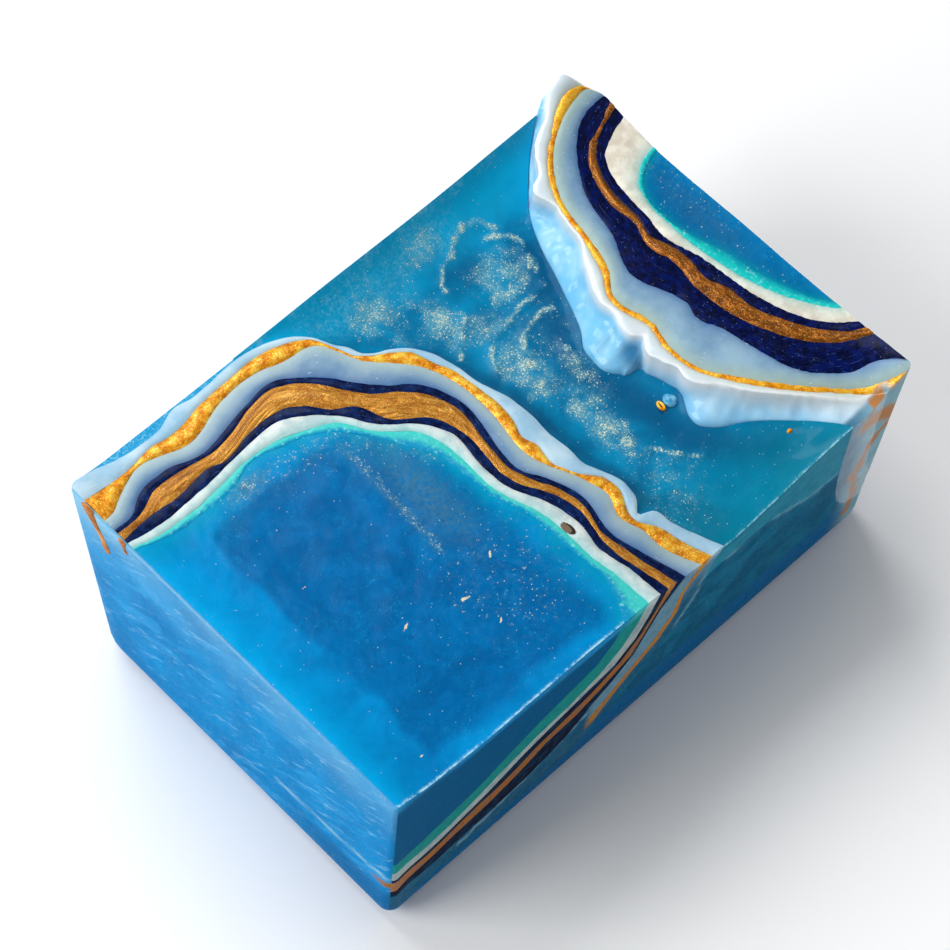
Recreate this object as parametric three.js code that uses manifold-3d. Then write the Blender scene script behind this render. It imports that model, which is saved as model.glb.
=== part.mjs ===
// Hand-poured "geode" soap loaf bar, millimetres, +Z up.
// The block is laid out from its near top corner: X along the long side, Y along the short side,
// Z = 0 at the nominal top plane.  The finished group is moved so that its box stands on Z = 0.

import * as THREE from 'three';
import { mergeVertices } from 'three/addons/utils/BufferGeometryUtils.js';
import Module from 'manifold-3d';

// ---------------------------------------------------------------- driving dimensions
const LENGTH = 90;            // long side, the inside width of a common loaf tray
const WIDTH = 59;             // short side
const HEIGHT = 39.5;          // bottom to nominal top plane
const DRAFT = 1;              // inset of each side at the bottom
const BOTTOM_RADIUS = 3.8;    // rounded bottom edges
const BLANK_TOP = 4;          // the blank is taller than any lip and is cut down
const SKIN = 0.9;             // thin gel skin over the short end of the front geode
const HALF_GAP = 0.14;        // half the clearance between neighbouring pours
const MIN_LAYER = 0.95;       // thinnest pour
const CUT_TOP = 12;           // upper end of the cutters
const RAD = Math.PI / 180;

// ---------------------------------------------------------------- outlines at the top, [X, Y]
// Front geode, from the core outwards, each line running from the short end to the long side.
const FRONT_OUTLINES = {
  core: [[0.8, 47.2], [10, 45.5], [20, 46.8], [28, 44.4], [33, 39], [37.3, 32.3], [38.2, 23.7],
    [40.3, 11.6], [41, 6], [39, 0]],
  teal: [[0.8, 47.9], [5, 46.8], [20, 47.3], [28.5, 45.2], [31.4, 43.6], [35.5, 37.8], [39.2, 31.4],
    [39.1, 25], [41.2, 15.9], [42, 9.5], [42.6, 0]],
  white: [[0.8, 48.6], [13, 48], [26, 48.7], [30, 46], [34.4, 40.8], [39.8, 35.3], [41, 31.8],
    [40.4, 24.5], [43.5, 13], [44.3, 5], [44.6, 0]],
  innerNavy: [[0.8, 49.3], [10, 49.3], [17.5, 49.1], [25, 50.1], [30, 48.1], [34.7, 43.7],
    [36.3, 40], [41, 35.3], [42, 32], [41.4, 24.6], [44.7, 14.4], [45.4, 5], [46.3, 0]],
  bronze: [[0.8, 50.3], [10, 52], [16.5, 51], [28.5, 52.8], [33, 49.8], [37.5, 43.7], [42.7, 38.5],
    [43.8, 35.1], [42.7, 24.6], [45.6, 14], [46.2, 7], [48.4, 0]],
  outerNavy: [[0.3, 51.3], [6.2, 52.6], [10, 53.2], [16.5, 51.9], [28.5, 53.9], [32.7, 51.2],
    [37.2, 46], [43, 40.2], [44.9, 34.8], [43.3, 24.2], [46.4, 15.2], [46.6, 10.4], [49.8, 0]],
  paleBlue: [[1.1, 52.8], [7.7, 55], [15, 54.3], [20, 54.7], [27.9, 55.6], [33.9, 54.2],
    [36.9, 51.8], [40, 47.7], [45, 41.8], [46.6, 34.1], [45.4, 26], [48.2, 16.8], [48.9, 11],
    [50.5, 5], [52.8, 0]],
  gold: [[1.9, 56.3], [7.4, 56.4], [16.7, 56.3], [25, 57.2], [31.8, 56.8], [36.9, 54.4],
    [38.8, 50.4], [43.1, 46.6], [46.2, 41.7], [47.8, 35.5], [47, 27.3], [47.2, 22], [50.2, 15.2],
    [50.2, 10], [52.8, 3.5], [54.8, 0]],
  shell: [[-2, 60.8], [16, 60.8], [30, 60], [34, 57.8], [37.9, 54.8], [40, 50.8], [43.8, 47.4],
    [47.2, 42.8], [48.3, 38.8], [49.6, 31.9], [49.8, 24.4], [50.2, 19.6], [51.8, 13], [51.6, 10],
    [54.6, 4], [56.8, 0]],
};

// Front geode, side section on the long face, [X, Z], from the short end up to the top.
const FRONT_SECTIONS = {
  core: [[0, -18], [13.6, -16.4], [25, -12.7], [34.9, -9.9], [38, -5.5], [38.6, -4]],
  teal: [[0, -20.8], [11, -21.4], [20.5, -17.9], [31.8, -15.2], [38, -11.4], [41.6, -4]],
  white: [[0, -23.6], [15.5, -22.4], [26, -18.3], [36.8, -15.8], [41.1, -12.4], [44.2, -4.5]],
  innerNavy: [[0, -24.8], [10.5, -25.2], [20.5, -23], [30, -19.6], [39.3, -16.4], [42.7, -10.5],
    [45.4, -4.8]],
  bronze: [[0, -27.9], [15.5, -26.8], [25, -24.3], [33, -22], [40.5, -18.9], [44.6, -11.8],
    [48.2, -5]],
  outerNavy: [[0, -29.6], [16.8, -30.3], [28, -28.6], [34.9, -24.6], [41, -20.6], [45.7, -11.6],
    [49.7, -5]],
  paleBlue: [[0, -31.2], [20, -31.8], [32, -30.2], [38, -26.8], [43, -22.6], [48, -17.4],
    [50.2, -9.3], [52.7, -5.2]],
  gold: [[0, -32.5], [20, -33.2], [33, -32], [38.6, -29.3], [44.3, -23.8], [49.9, -17.4],
    [51.4, -9.9], [54.8, -5.4]],
  shell: [[0, -34], [20, -34.9], [35, -34], [43, -28], [48, -23], [51.8, -19.3], [53.6, -13],
    [56.9, -6]],
};

// Rear geode, from the core outwards, each line running from the far side to the near side.
const REAR_OUTLINES = {
  core: [[90, 45], [85.8, 43], [84.3, 40], [83.9, 33.5], [85.6, 25], [88.3, 16.5], [90, 14]],
  teal: [[90, 46.2], [85.2, 44.1], [83.6, 41.1], [82.9, 33.8], [84.4, 23.7], [87, 16.8], [90, 12.4]],
  white: [[90, 51.9], [84.6, 49.6], [82.8, 46.7], [81.7, 38.9], [82.3, 30], [83.7, 20],
    [87.6, 11.9], [90.7, 9.4]],
  innerNavy: [[90, 53.4], [85.2, 51.5], [82.4, 48.7], [80.8, 43.5], [80, 36.4], [80.8, 30.9],
    [81.6, 24.6], [82.7, 17.6], [87, 10.7], [90.7, 8]],
  bronze: [[90, 54.7], [84.2, 52.3], [81.1, 48.9], [79.4, 43.5], [79.6, 39.8], [78.5, 35],
    [79.1, 31], [78.7, 26], [80.2, 17.9], [83.9, 11.6], [90.7, 6.7]],
  outerNavy: [[90, 56], [84.2, 54.2], [80.5, 50.7], [78.1, 46.8], [75.2, 37.2], [73.9, 33.8],
    [76.1, 26.3], [75.5, 24.2], [77.6, 16.5], [80, 9.1], [84.8, 4.8], [90, 1.9]],
  paleBlue: [[90, 58.6], [82.9, 56.5], [79.2, 53.9], [76.1, 49.8], [74.6, 45.9], [72.2, 36.7],
    [69.9, 33], [70.8, 27], [69.9, 22], [72.8, 14.8], [78.9, 7.2], [82.6, 3.7], [88, 0]],
  gold: [[90, 60.3], [84.8, 58.4], [80.5, 56], [76.8, 52.6], [74.4, 48.3], [73, 42], [71, 36.7],
    [68.8, 32.6], [69.6, 27], [68.8, 22], [71.8, 14.4], [78, 6.5], [81.6, 2.8], [86.4, -0.8]],
  crest: [[89, 62], [84.1, 60.2], [80, 57.6], [76.4, 55], [73.6, 51.4], [72.8, 47.6], [70, 38.6],
    [67.8, 33.9], [67.4, 27.7], [67.2, 22.6], [68.7, 17], [71.6, 12.4], [76.8, 6.8], [80.8, 2],
    [83, -1]],
  foot: [[82, 64], [78, 58.5], [74.6, 52.8], [71.4, 49.8], [68.1, 43.4], [66, 37.4], [62.8, 31.6],
    [62.4, 29], [63.6, 26.4], [66.2, 25.6], [68, 23.8], [66.9, 20.6], [66, 16.4], [66, 14],
    [68.4, 12], [74.9, 5.4], [78.6, 0], [80, -2]],
};

// Depth of each rear pour below the top, and how square its hidden section is.
const REAR_DEPTHS = {
  core: 16, teal: 18, white: 23, innerNavy: 25, bronze: 27, outerNavy: 29.5,
  paleBlue: 33, gold: 34.6, shell: 36.2,
};
const REAR_SQUARENESS = 5;

// ---------------------------------------------------------------- top heights, Z at [X][Y]
const FRONT_TOP = {
  x: [-6, 0, 5, 12, 35, 45, 51, 60],
  y: [-6, 0, 15, 35, 52, 66],
  z: [[0, 0, 0, 0, 0, 0], [0, 0, 0, 0, 0, 0], [-1.5, -1.5, -0.9, -0.6, -0.6, -0.8],
    [-2.5, -2.5, -1.5, -1, -0.8, -0.8], [-3, -3, -1.9, -1.2, -0.8, -0.6],
    [-4.2, -4.2, -2.8, -1.6, -0.8, -0.2], [-5.9, -5.9, -3.6, -2, -0.8, 0],
    [-7, -7, -4, -2, -0.8, 0]],
};
const GEL_TOP = {
  x: [18, 34, 44, 52, 60, 66, 72, 78, 96],
  y: [-6, 0, 8, 30, 50, 57, 66],
  z: [[-3, -3, -3, -4, -3.5, -0.4, 0.4], [-4, -4, -4, -4.5, -3.8, -0.4, 0.4],
    [-5, -5, -5, -5, -4.2, -0.8, 0.4], [-6.2, -6.2, -5.6, -5, -4.4, -2, 0.3],
    [-7.2, -7.2, -6.2, -5.2, -4.4, -2, 0.3], [-6.3, -6.3, -5.8, -5.2, -4.4, -2, 0.4],
    [-4.9, -4.9, -5, -5.2, -4.4, -2, 0.6], [-4.2, -4.2, -4.8, -5.2, -4.4, -2, 0.9],
    [-4.2, -4.2, -4.8, -5.2, -4.4, -2, 0.9]],
};
const REAR_TOP = {
  x: [60, 74, 80, 84, 87, 96],
  y: [-6, 0, 8, 30, 50, 58, 66],
  z: [[-2.6, -2.6, -2, -1.2, -0.6, 0.8, 1.4], [-3.8, -3.8, -2.4, -1.2, -0.6, 0.8, 1.6],
    [-3.7, -3.7, -2.2, -1.2, -0.8, 1, 1.8], [-3.2, -3.2, -1.8, -1.3, -1, 1.4, 2.6],
    [-1.6, -1.6, -1.2, -1.4, -1.2, 1.2, 3], [-0.8, -0.8, -1, -1.4, -1.2, 0.6, 2]],
};
// Lower limit of the middle gel pour, the same along Y.
const POUR_LINE = [[10, 3], [24, 2], [34, -8], [50, -12], [67, -12.4], [74, -15.6], [96, -16]];

// ---------------------------------------------------------------- small pieces
const DROPLET = { name: 'pale_droplet', x: 65, y: 19.2, z: -5.2, r: [1.3, 1.2, 0.9] };
const BEADS = [
  { name: 'gold_bead_near_droplet', x: 63.1, y: 19.4, z: -5.4, r: [0.6, 0.6, 0.6] },
  { name: 'gold_bead_near_edge', x: 73.2, y: 5.4, z: -4.9, r: [0.7, 0.6, 0.6] },
];
const SIDE_DRIPS = [
  { name: 'front_gold_drip', slot: 'gold', y: 54, lean: -0.34, top: -1.6, length: 6, r: 0.5, bulb: 0.75 },
  { name: 'front_bronze_drip', slot: 'bronze', y: 48.4, lean: 0, top: -1, length: 2.4, r: 0.4, bulb: 0.6 },
];

const MATERIALS = {
  base: { color: 0x4aa4dc, roughness: 0.25 },
  gel: { color: 0x0f7fa8, roughness: 0.1 },
  core: { color: 0x0a6fb8, roughness: 0.2 },
  teal: { color: 0x3fd0c8, roughness: 0.35 },
  white: { color: 0xe4e2dc, roughness: 0.4 },
  navy: { color: 0x101f5c, roughness: 0.3 },
  bronze: { color: 0xb0722a, roughness: 0.35, metalness: 0.4 },
  pale: { color: 0xa6cbe4, roughness: 0.4 },
  gold: { color: 0xe89a1e, roughness: 0.35, metalness: 0.5 },
};

// ---------------------------------------------------------------- mesh helpers
const wasm = await Module();
wasm.setup();

function toManifold(geometry) {
  const plain = geometry.clone();
  plain.deleteAttribute('normal');
  plain.deleteAttribute('uv');
  const merged = mergeVertices(plain, 1e-5);
  return new wasm.Manifold(new wasm.Mesh({
    numProp: 3,
    vertProperties: new Float32Array(merged.attributes.position.array),
    triVerts: new Uint32Array(merged.index.array),
  }));
}

function indexedSolid(points, faces) {
  const geometry = new THREE.BufferGeometry();
  geometry.setAttribute('position', new THREE.Float32BufferAttribute(points.flat(), 3));
  geometry.setIndex(faces.flat());
  return toManifold(geometry);
}

function largestBody(solid) {
  const bodies = solid.decompose();
  bodies.sort((a, b) => b.volume() - a.volume());
  return bodies[0];
}

function interpolate(x, xs, ys) {
  if (x <= xs[0]) return ys[0];
  const last = xs.length - 1;
  if (x >= xs[last]) return ys[last];
  let i = 0;
  while (x > xs[i + 1]) i += 1;
  const t = (x - xs[i]) / (xs[i + 1] - xs[i]);
  return ys[i] + t * (ys[i + 1] - ys[i]);
}

// A block drawn as level rectangles: drafted sides, rounded bottom edges, taller than needed.
function blank() {
  const levels = [];
  const arcSteps = 5;
  for (let i = 0; i <= arcSteps; i += 1) {
    const angle = (i / arcSteps) * 90 * RAD;
    const z = -HEIGHT + BOTTOM_RADIUS * (1 - Math.cos(angle));
    const inset = BOTTOM_RADIUS * (1 - Math.sin(angle));
    levels.push([z, DRAFT + inset]);
  }
  levels.push([0, 0]);
  levels.push([BLANK_TOP, 0]);
  const points = [];
  const faces = [];
  levels.forEach(([z, inset]) => {
    points.push([inset, inset, z], [LENGTH - inset, inset, z]);
    points.push([LENGTH - inset, WIDTH - inset, z], [inset, WIDTH - inset, z]);
  });
  for (let level = 0; level < levels.length - 1; level += 1) {
    for (let i = 0; i < 4; i += 1) {
      const a = level * 4 + i;
      const b = level * 4 + ((i + 1) % 4);
      faces.push([a, b, b + 4], [a, b + 4, a + 4]);
    }
  }
  const top = (levels.length - 1) * 4;
  faces.push([0, 2, 1], [0, 3, 2]);
  faces.push([top, top + 1, top + 2], [top, top + 2, top + 3]);
  return indexedSolid(points, faces);
}

// Everything more than one skin's thickness behind the drafted short end.
function behindSkin(thickness) {
  const geometry = new THREE.BoxGeometry(LENGTH + 20, 100, 80);
  geometry.translate((LENGTH + 20) / 2 + thickness, WIDTH / 2, -20);
  const shear = new THREE.Matrix4();
  shear.elements[8] = -DRAFT / HEIGHT;
  geometry.applyMatrix4(shear);
  return toManifold(geometry);
}

// The space above (or below) a grid of heights, as a closed solid.
function fieldSolid(field, farZ) {
  const { x, y, z } = field;
  const ny = y.length;
  const count = x.length * ny;
  const points = [];
  for (const level of ['field', 'far']) {
    x.forEach((px, i) => y.forEach((py, j) => points.push([px, py, level === 'field' ? z[i][j] : farZ])));
  }
  const up = farZ > z[0][0];
  const faces = [];
  const quad = (a, b, c, d) => {
    if (up) faces.push([a, c, b], [a, d, c]);
    else faces.push([a, b, c], [a, c, d]);
  };
  for (let i = 0; i < x.length - 1; i += 1) {
    for (let j = 0; j < ny - 1; j += 1) {
      const a = i * ny + j;
      quad(a, a + ny, a + ny + 1, a + 1);
      quad(a + count, a + count + 1, a + count + ny + 1, a + count + ny);
    }
  }
  for (let i = 0; i < x.length - 1; i += 1) {
    const a = i * ny;
    const b = a + ny - 1;
    quad(a, a + count, a + count + ny, a + ny);
    quad(b, b + ny, b + ny + count, b + count);
  }
  for (let j = 0; j < ny - 1; j += 1) {
    const a = j;
    const b = (x.length - 1) * ny + j;
    quad(a, a + 1, a + 1 + count, a + count);
    quad(b, b + count, b + count + 1, b + 1);
  }
  return indexedSolid(points, faces);
}

// ---------------------------------------------------------------- nested bowls
// A bowl is star-shaped about a point outside the block.  distance(i, j) is its reach at
// heading i and dip j; the open side is closed by a fan to a point on the axis.
function bowlSolid(centre, headings, dips, distance, offset) {
  const points = [];
  headings.forEach((heading, i) => {
    dips.forEach((dip, j) => {
      const reach = distance[i][j] + offset;
      const flat = reach * Math.cos(dip * RAD);
      points.push([centre.x + flat * Math.cos(heading * RAD), centre.y + flat * Math.sin(heading * RAD),
        -reach * Math.sin(dip * RAD)]);
    });
  });
  const rows = dips.length;
  const pole = points.length;
  points.push([centre.x, centre.y, -centre.depth(distance) - offset]);
  const apex = points.length;
  points.push([centre.x, centre.y, centre.apexZ]);
  const faces = [];
  const last = headings.length - 1;
  for (let i = 0; i < last; i += 1) {
    for (let j = 0; j < rows - 1; j += 1) {
      const a = i * rows + j;
      const b = a + rows;
      faces.push([a, a + 1, b + 1], [a, b + 1, b]);
    }
    faces.push([i * rows + rows - 1, pole, (i + 1) * rows + rows - 1]);
    faces.push([i * rows, (i + 1) * rows, apex]);
  }
  for (let j = 0; j < rows - 1; j += 1) {
    faces.push([j + 1, j, apex]);
    faces.push([last * rows + j, last * rows + j + 1, apex]);
  }
  faces.push([pole, rows - 1, apex], [last * rows + rows - 1, pole, apex]);
  return indexedSolid(points, faces);
}

function headingTable(points, centre) {
  const table = points.map(([x, y]) => {
    const angle = Math.atan2(y - centre.y, x - centre.x) / RAD;
    return [(angle + 360 + 90) % 360 - 90, Math.hypot(x - centre.x, y - centre.y)];
  });
  table.sort((a, b) => a[0] - b[0]);
  return { at: table.map((row) => row[0]), reach: table.map((row) => row[1]) };
}

function steps(from, to, count) {
  return Array.from({ length: count + 1 }, (_, i) => from + ((to - from) * i) / count);
}

// Each table of distances is kept at least MIN_LAYER outside the one before it.
function nested(tables) {
  for (let k = 1; k < tables.length; k += 1) {
    tables[k] = tables[k].map((row, i) => row.map((d, j) => Math.max(d, tables[k - 1][i][j] + MIN_LAYER)));
  }
  return tables;
}

const LAYERS = ['core', 'teal', 'white', 'innerNavy', 'bronze', 'outerNavy', 'paleBlue', 'gold', 'shell'];

const FRONT_CENTRE = { x: -4, y: -4, apexZ: 2, depth: (distance) => distance[0][distance[0].length - 1] };
const FRONT_HEADINGS = [-20, ...steps(3, 87, 14), 112];
const FRONT_DIPS = [-7, 5, 14, 26, 40, 58, 78];

function frontDistances() {
  return nested(LAYERS.map((layer) => {
    const outline = headingTable(FRONT_OUTLINES[layer], FRONT_CENTRE);
    const section = FRONT_SECTIONS[layer].map(([x, z]) => [Math.atan2(-z, x - FRONT_CENTRE.x) / RAD,
      Math.hypot(x - FRONT_CENTRE.x, z)]);
    section.sort((a, b) => a[0] - b[0]);
    const dips = section.map((row) => row[0]);
    const reaches = section.map((row) => row[1]);
    return FRONT_HEADINGS.map((heading) => FRONT_DIPS.map((dip) => {
      const plan = interpolate(heading, outline.at, outline.reach);
      const side = interpolate(dip, dips, reaches);
      const round = Math.max(0, dip / 90) ** 1.5;
      return (plan * side / reaches[0]) * (1 - round) + side * round;
    }));
  }));
}

const REAR_CENTRE = { x: 100, y: 31, apexZ: 4, depth: (distance) => distance[0][distance[0].length - 1] };
const REAR_HEADINGS = [94, ...steps(106, 254, 16), 266];
const REAR_DIPS = [-12, 1.6, 8, 34, 46, 58, 78];

function rearDistances() {
  return nested(LAYERS.map((layer) => {
    const upper = headingTable(REAR_OUTLINES[layer === 'shell' ? 'crest' : layer], REAR_CENTRE);
    const lower = layer === 'shell' ? headingTable(REAR_OUTLINES.foot, REAR_CENTRE) : upper;
    const depth = REAR_DEPTHS[layer];
    return REAR_HEADINGS.map((heading) => REAR_DIPS.map((dip) => {
      const high = interpolate(heading, upper.at, upper.reach);
      const low = interpolate(heading, lower.at, lower.reach);
      const plan = high + (low - high) * Math.min(1, Math.max(0, (dip - 1.6) / 6.4));
      if (dip <= 0) return plan / Math.cos(dip * RAD);
      const p = REAR_SQUARENESS;
      return ((Math.cos(dip * RAD) / plan) ** p + (Math.sin(dip * RAD) / depth) ** p) ** (-1 / p);
    }));
  }));
}

// Pours of one geode, core first, cut to the block and under the top surface.
function geodePours(centre, headings, dips, distances, space) {
  return LAYERS.map((_, k) => {
    const outer = bowlSolid(centre, headings, dips, distances[k], -HALF_GAP);
    const body = k === 0 ? outer : outer.subtract(
      bowlSolid(centre, headings, dips, distances[k - 1], HALF_GAP));
    return body.intersect(space);
  });
}

// ---------------------------------------------------------------- small pieces
function ellipsoid(piece, grow) {
  const geometry = new THREE.SphereGeometry(1, 12, 8);
  geometry.scale(piece.r[0] + grow, piece.r[1] + grow, piece.r[2] + grow);
  geometry.translate(piece.x, piece.y, piece.z);
  return toManifold(geometry);
}

function sideDrip(drip, grow) {
  const r = drip.r + grow;
  const bulb = drip.bulb + grow;
  const end = -drip.length;
  const profile = [
    new THREE.Vector2(0, grow), new THREE.Vector2(r, grow), new THREE.Vector2(r * 0.9, end * 0.6),
    new THREE.Vector2(bulb, end - bulb * 0.2), new THREE.Vector2(bulb * 0.8, end - bulb * 0.8),
    new THREE.Vector2(0, end - bulb * 1.3),
  ].reverse();
  const geometry = new THREE.LatheGeometry(profile, 10);
  geometry.rotateX(90 * RAD);
  geometry.rotateX(Math.atan(drip.lean));
  geometry.translate(0, drip.y, drip.top);
  return toManifold(geometry);
}

// ---------------------------------------------------------------- assembly
const group = new THREE.Group();
group.name = 'geode_soap_loaf_bar';

function addNode(name, slot, solid) {
  const mesh3 = largestBody(solid).getMesh();
  const geometry = new THREE.BufferGeometry();
  geometry.setAttribute('position', new THREE.Float32BufferAttribute(mesh3.vertProperties, 3));
  geometry.setIndex(Array.from(mesh3.triVerts));
  geometry.computeVertexNormals();
  const look = MATERIALS[slot];
  const material = new THREE.MeshStandardMaterial({
    color: look.color, roughness: look.roughness, metalness: look.metalness ?? 0,
  });
  material.name = slot;
  const mesh = new THREE.Mesh(geometry, material);
  mesh.name = name;
  group.add(mesh);
}

function build() {
  const block = blank();
  const aboveFront = fieldSolid(FRONT_TOP, CUT_TOP);
  const aboveGel = fieldSolid(GEL_TOP, CUT_TOP);
  const aboveRear = fieldSolid(REAR_TOP, CUT_TOP);
  const overPourLine = fieldSolid({
    x: POUR_LINE.map((row) => row[0]),
    y: [-6, 66],
    z: POUR_LINE.map((row) => [row[1] + HALF_GAP, row[1] + HALF_GAP]),
  }, CUT_TOP);
  const overPourLineLoose = overPourLine.translate(0, 0, -2 * HALF_GAP);

  const inside = behindSkin(SKIN);
  const insideLoose = behindSkin(SKIN - 2 * HALF_GAP);
  const front = frontDistances();
  const rear = rearDistances();
  const shell = LAYERS.length - 1;
  const frontHollow = bowlSolid(FRONT_CENTRE, FRONT_HEADINGS, FRONT_DIPS, front[shell], HALF_GAP)
    .intersect(insideLoose);
  const rearHollow = bowlSolid(REAR_CENTRE, REAR_HEADINGS, REAR_DIPS, rear[shell], HALF_GAP);

  const droplet = ellipsoid(DROPLET, 0);
  const beads = BEADS.map((bead) => ellipsoid(bead, 0));
  const drips = SIDE_DRIPS.map((drip) => sideDrip(drip, 0).intersect(block));
  const frontSpace = block.intersect(inside).subtract(aboveFront);
  const rearSpace = block.subtract(aboveRear).subtract(ellipsoid(DROPLET, 2 * HALF_GAP));

  let base = block.subtract(frontHollow).subtract(rearHollow).subtract(overPourLineLoose);
  base = base.subtract(aboveFront);
  SIDE_DRIPS.forEach((drip) => {
    base = base.subtract(sideDrip(drip, HALF_GAP));
  });
  addNode('base_loaf', 'base', base);

  let gel = block.intersect(overPourLine).subtract(frontHollow).subtract(rearHollow).subtract(aboveGel);
  gel = gel.subtract(ellipsoid(DROPLET, HALF_GAP));
  BEADS.forEach((bead) => {
    gel = gel.subtract(ellipsoid(bead, HALF_GAP));
  });
  addNode('middle_gel_pour', 'gel', gel);

  const slots = ['core', 'teal', 'white', 'navy', 'bronze', 'navy', 'pale', 'gold', 'pale'];
  const names = ['core', 'teal_rim', 'white_layer', 'inner_navy_layer', 'bronze_vein',
    'outer_navy_layer', 'pale_blue_layer', 'gold_vein', 'outer_shell'];
  geodePours(FRONT_CENTRE, FRONT_HEADINGS, FRONT_DIPS, front, frontSpace)
    .forEach((pour, k) => addNode(`front_${names[k]}`, slots[k], pour));
  geodePours(REAR_CENTRE, REAR_HEADINGS, REAR_DIPS, rear, rearSpace)
    .forEach((pour, k) => addNode(`rear_${names[k]}`, slots[k], pour));

  addNode(DROPLET.name, 'pale', droplet);
  BEADS.forEach((bead, i) => addNode(bead.name, 'gold', beads[i]));
  SIDE_DRIPS.forEach((drip, i) => addNode(drip.name, drip.slot, drips[i]));
}

build();

// Stand the box on Z = 0 with its centre on the Z axis.
const box = new THREE.Box3().setFromObject(group);
const shift = new THREE.Vector3(-(box.min.x + box.max.x) / 2, -(box.min.y + box.max.y) / 2, -box.min.z);
group.children.forEach((mesh) => mesh.geometry.translate(shift.x, shift.y, shift.z));

export default group;
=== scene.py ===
"""Looks for the hand-poured geode soap bar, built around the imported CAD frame."""

import math

import bpy
import numpy as np
from mathutils import Matrix, Vector, noise


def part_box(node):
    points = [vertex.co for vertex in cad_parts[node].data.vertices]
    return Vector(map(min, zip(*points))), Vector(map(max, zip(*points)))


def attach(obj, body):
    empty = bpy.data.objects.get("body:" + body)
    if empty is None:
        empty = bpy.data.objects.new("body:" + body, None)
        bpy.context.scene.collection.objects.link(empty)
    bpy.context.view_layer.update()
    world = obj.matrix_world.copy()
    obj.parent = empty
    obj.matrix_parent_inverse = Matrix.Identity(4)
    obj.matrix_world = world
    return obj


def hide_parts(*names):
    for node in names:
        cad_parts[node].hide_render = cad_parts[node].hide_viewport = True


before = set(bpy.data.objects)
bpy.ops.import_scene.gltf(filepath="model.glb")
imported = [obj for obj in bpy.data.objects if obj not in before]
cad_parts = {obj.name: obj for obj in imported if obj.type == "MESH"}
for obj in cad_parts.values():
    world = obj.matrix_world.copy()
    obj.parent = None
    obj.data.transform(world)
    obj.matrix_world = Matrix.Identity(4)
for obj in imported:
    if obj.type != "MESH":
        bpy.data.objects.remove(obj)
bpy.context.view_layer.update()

# ------------------------------------------------------------------ layout, in millimetres
# Measured from the near top corner: x along the long side, y along the short side, z up.
LENGTH = 90.0
WIDTH = 59.0
HEIGHT = 39.5
DRAFT = 1.0
BOTTOM_RADIUS = 3.8
LIP_OVERHANG = 1.3      # of the rear lip past the long far side
SKIN = 0.45             # of base over the short near end of the front geode
ORIGIN = Vector(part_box("base_loaf")[0]) + Vector((0, 0, HEIGHT / 1000))
CLEAR_TOP = 14.0        # cutters reach this far above the top plane
CUTTER_SPREAD = 8.0     # and this far past the long sides

LAYERS = ("core", "teal", "white", "inner_navy", "bronze", "outer_navy", "pale", "gold", "shell")
NODES = ("core", "teal_rim", "white_layer", "inner_navy_layer", "bronze_vein", "outer_navy_layer",
         "pale_blue_layer", "gold_vein", "outer_shell")

# Each geode is swept round an upright axis that stands outside the block.
FRONT_CENTRE = (-4.0, -4.0)
REAR_CENTRE = (100.0, 31.0)
WALL_STEPS = 16
STEEPEST = 86           # the walls stop this many degrees below level, just short of the axis
POLE_DROP = 0.2         # and close on the axis a little below their last row
THINNEST = 0.35         # least thickness of a pour along its top
FOOT_MARGIN = 0.45      # least run of the rear shell from its crest to its foot
FOOT_SINK = 0.25        # the foot ends this far under the gel's surface

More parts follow.
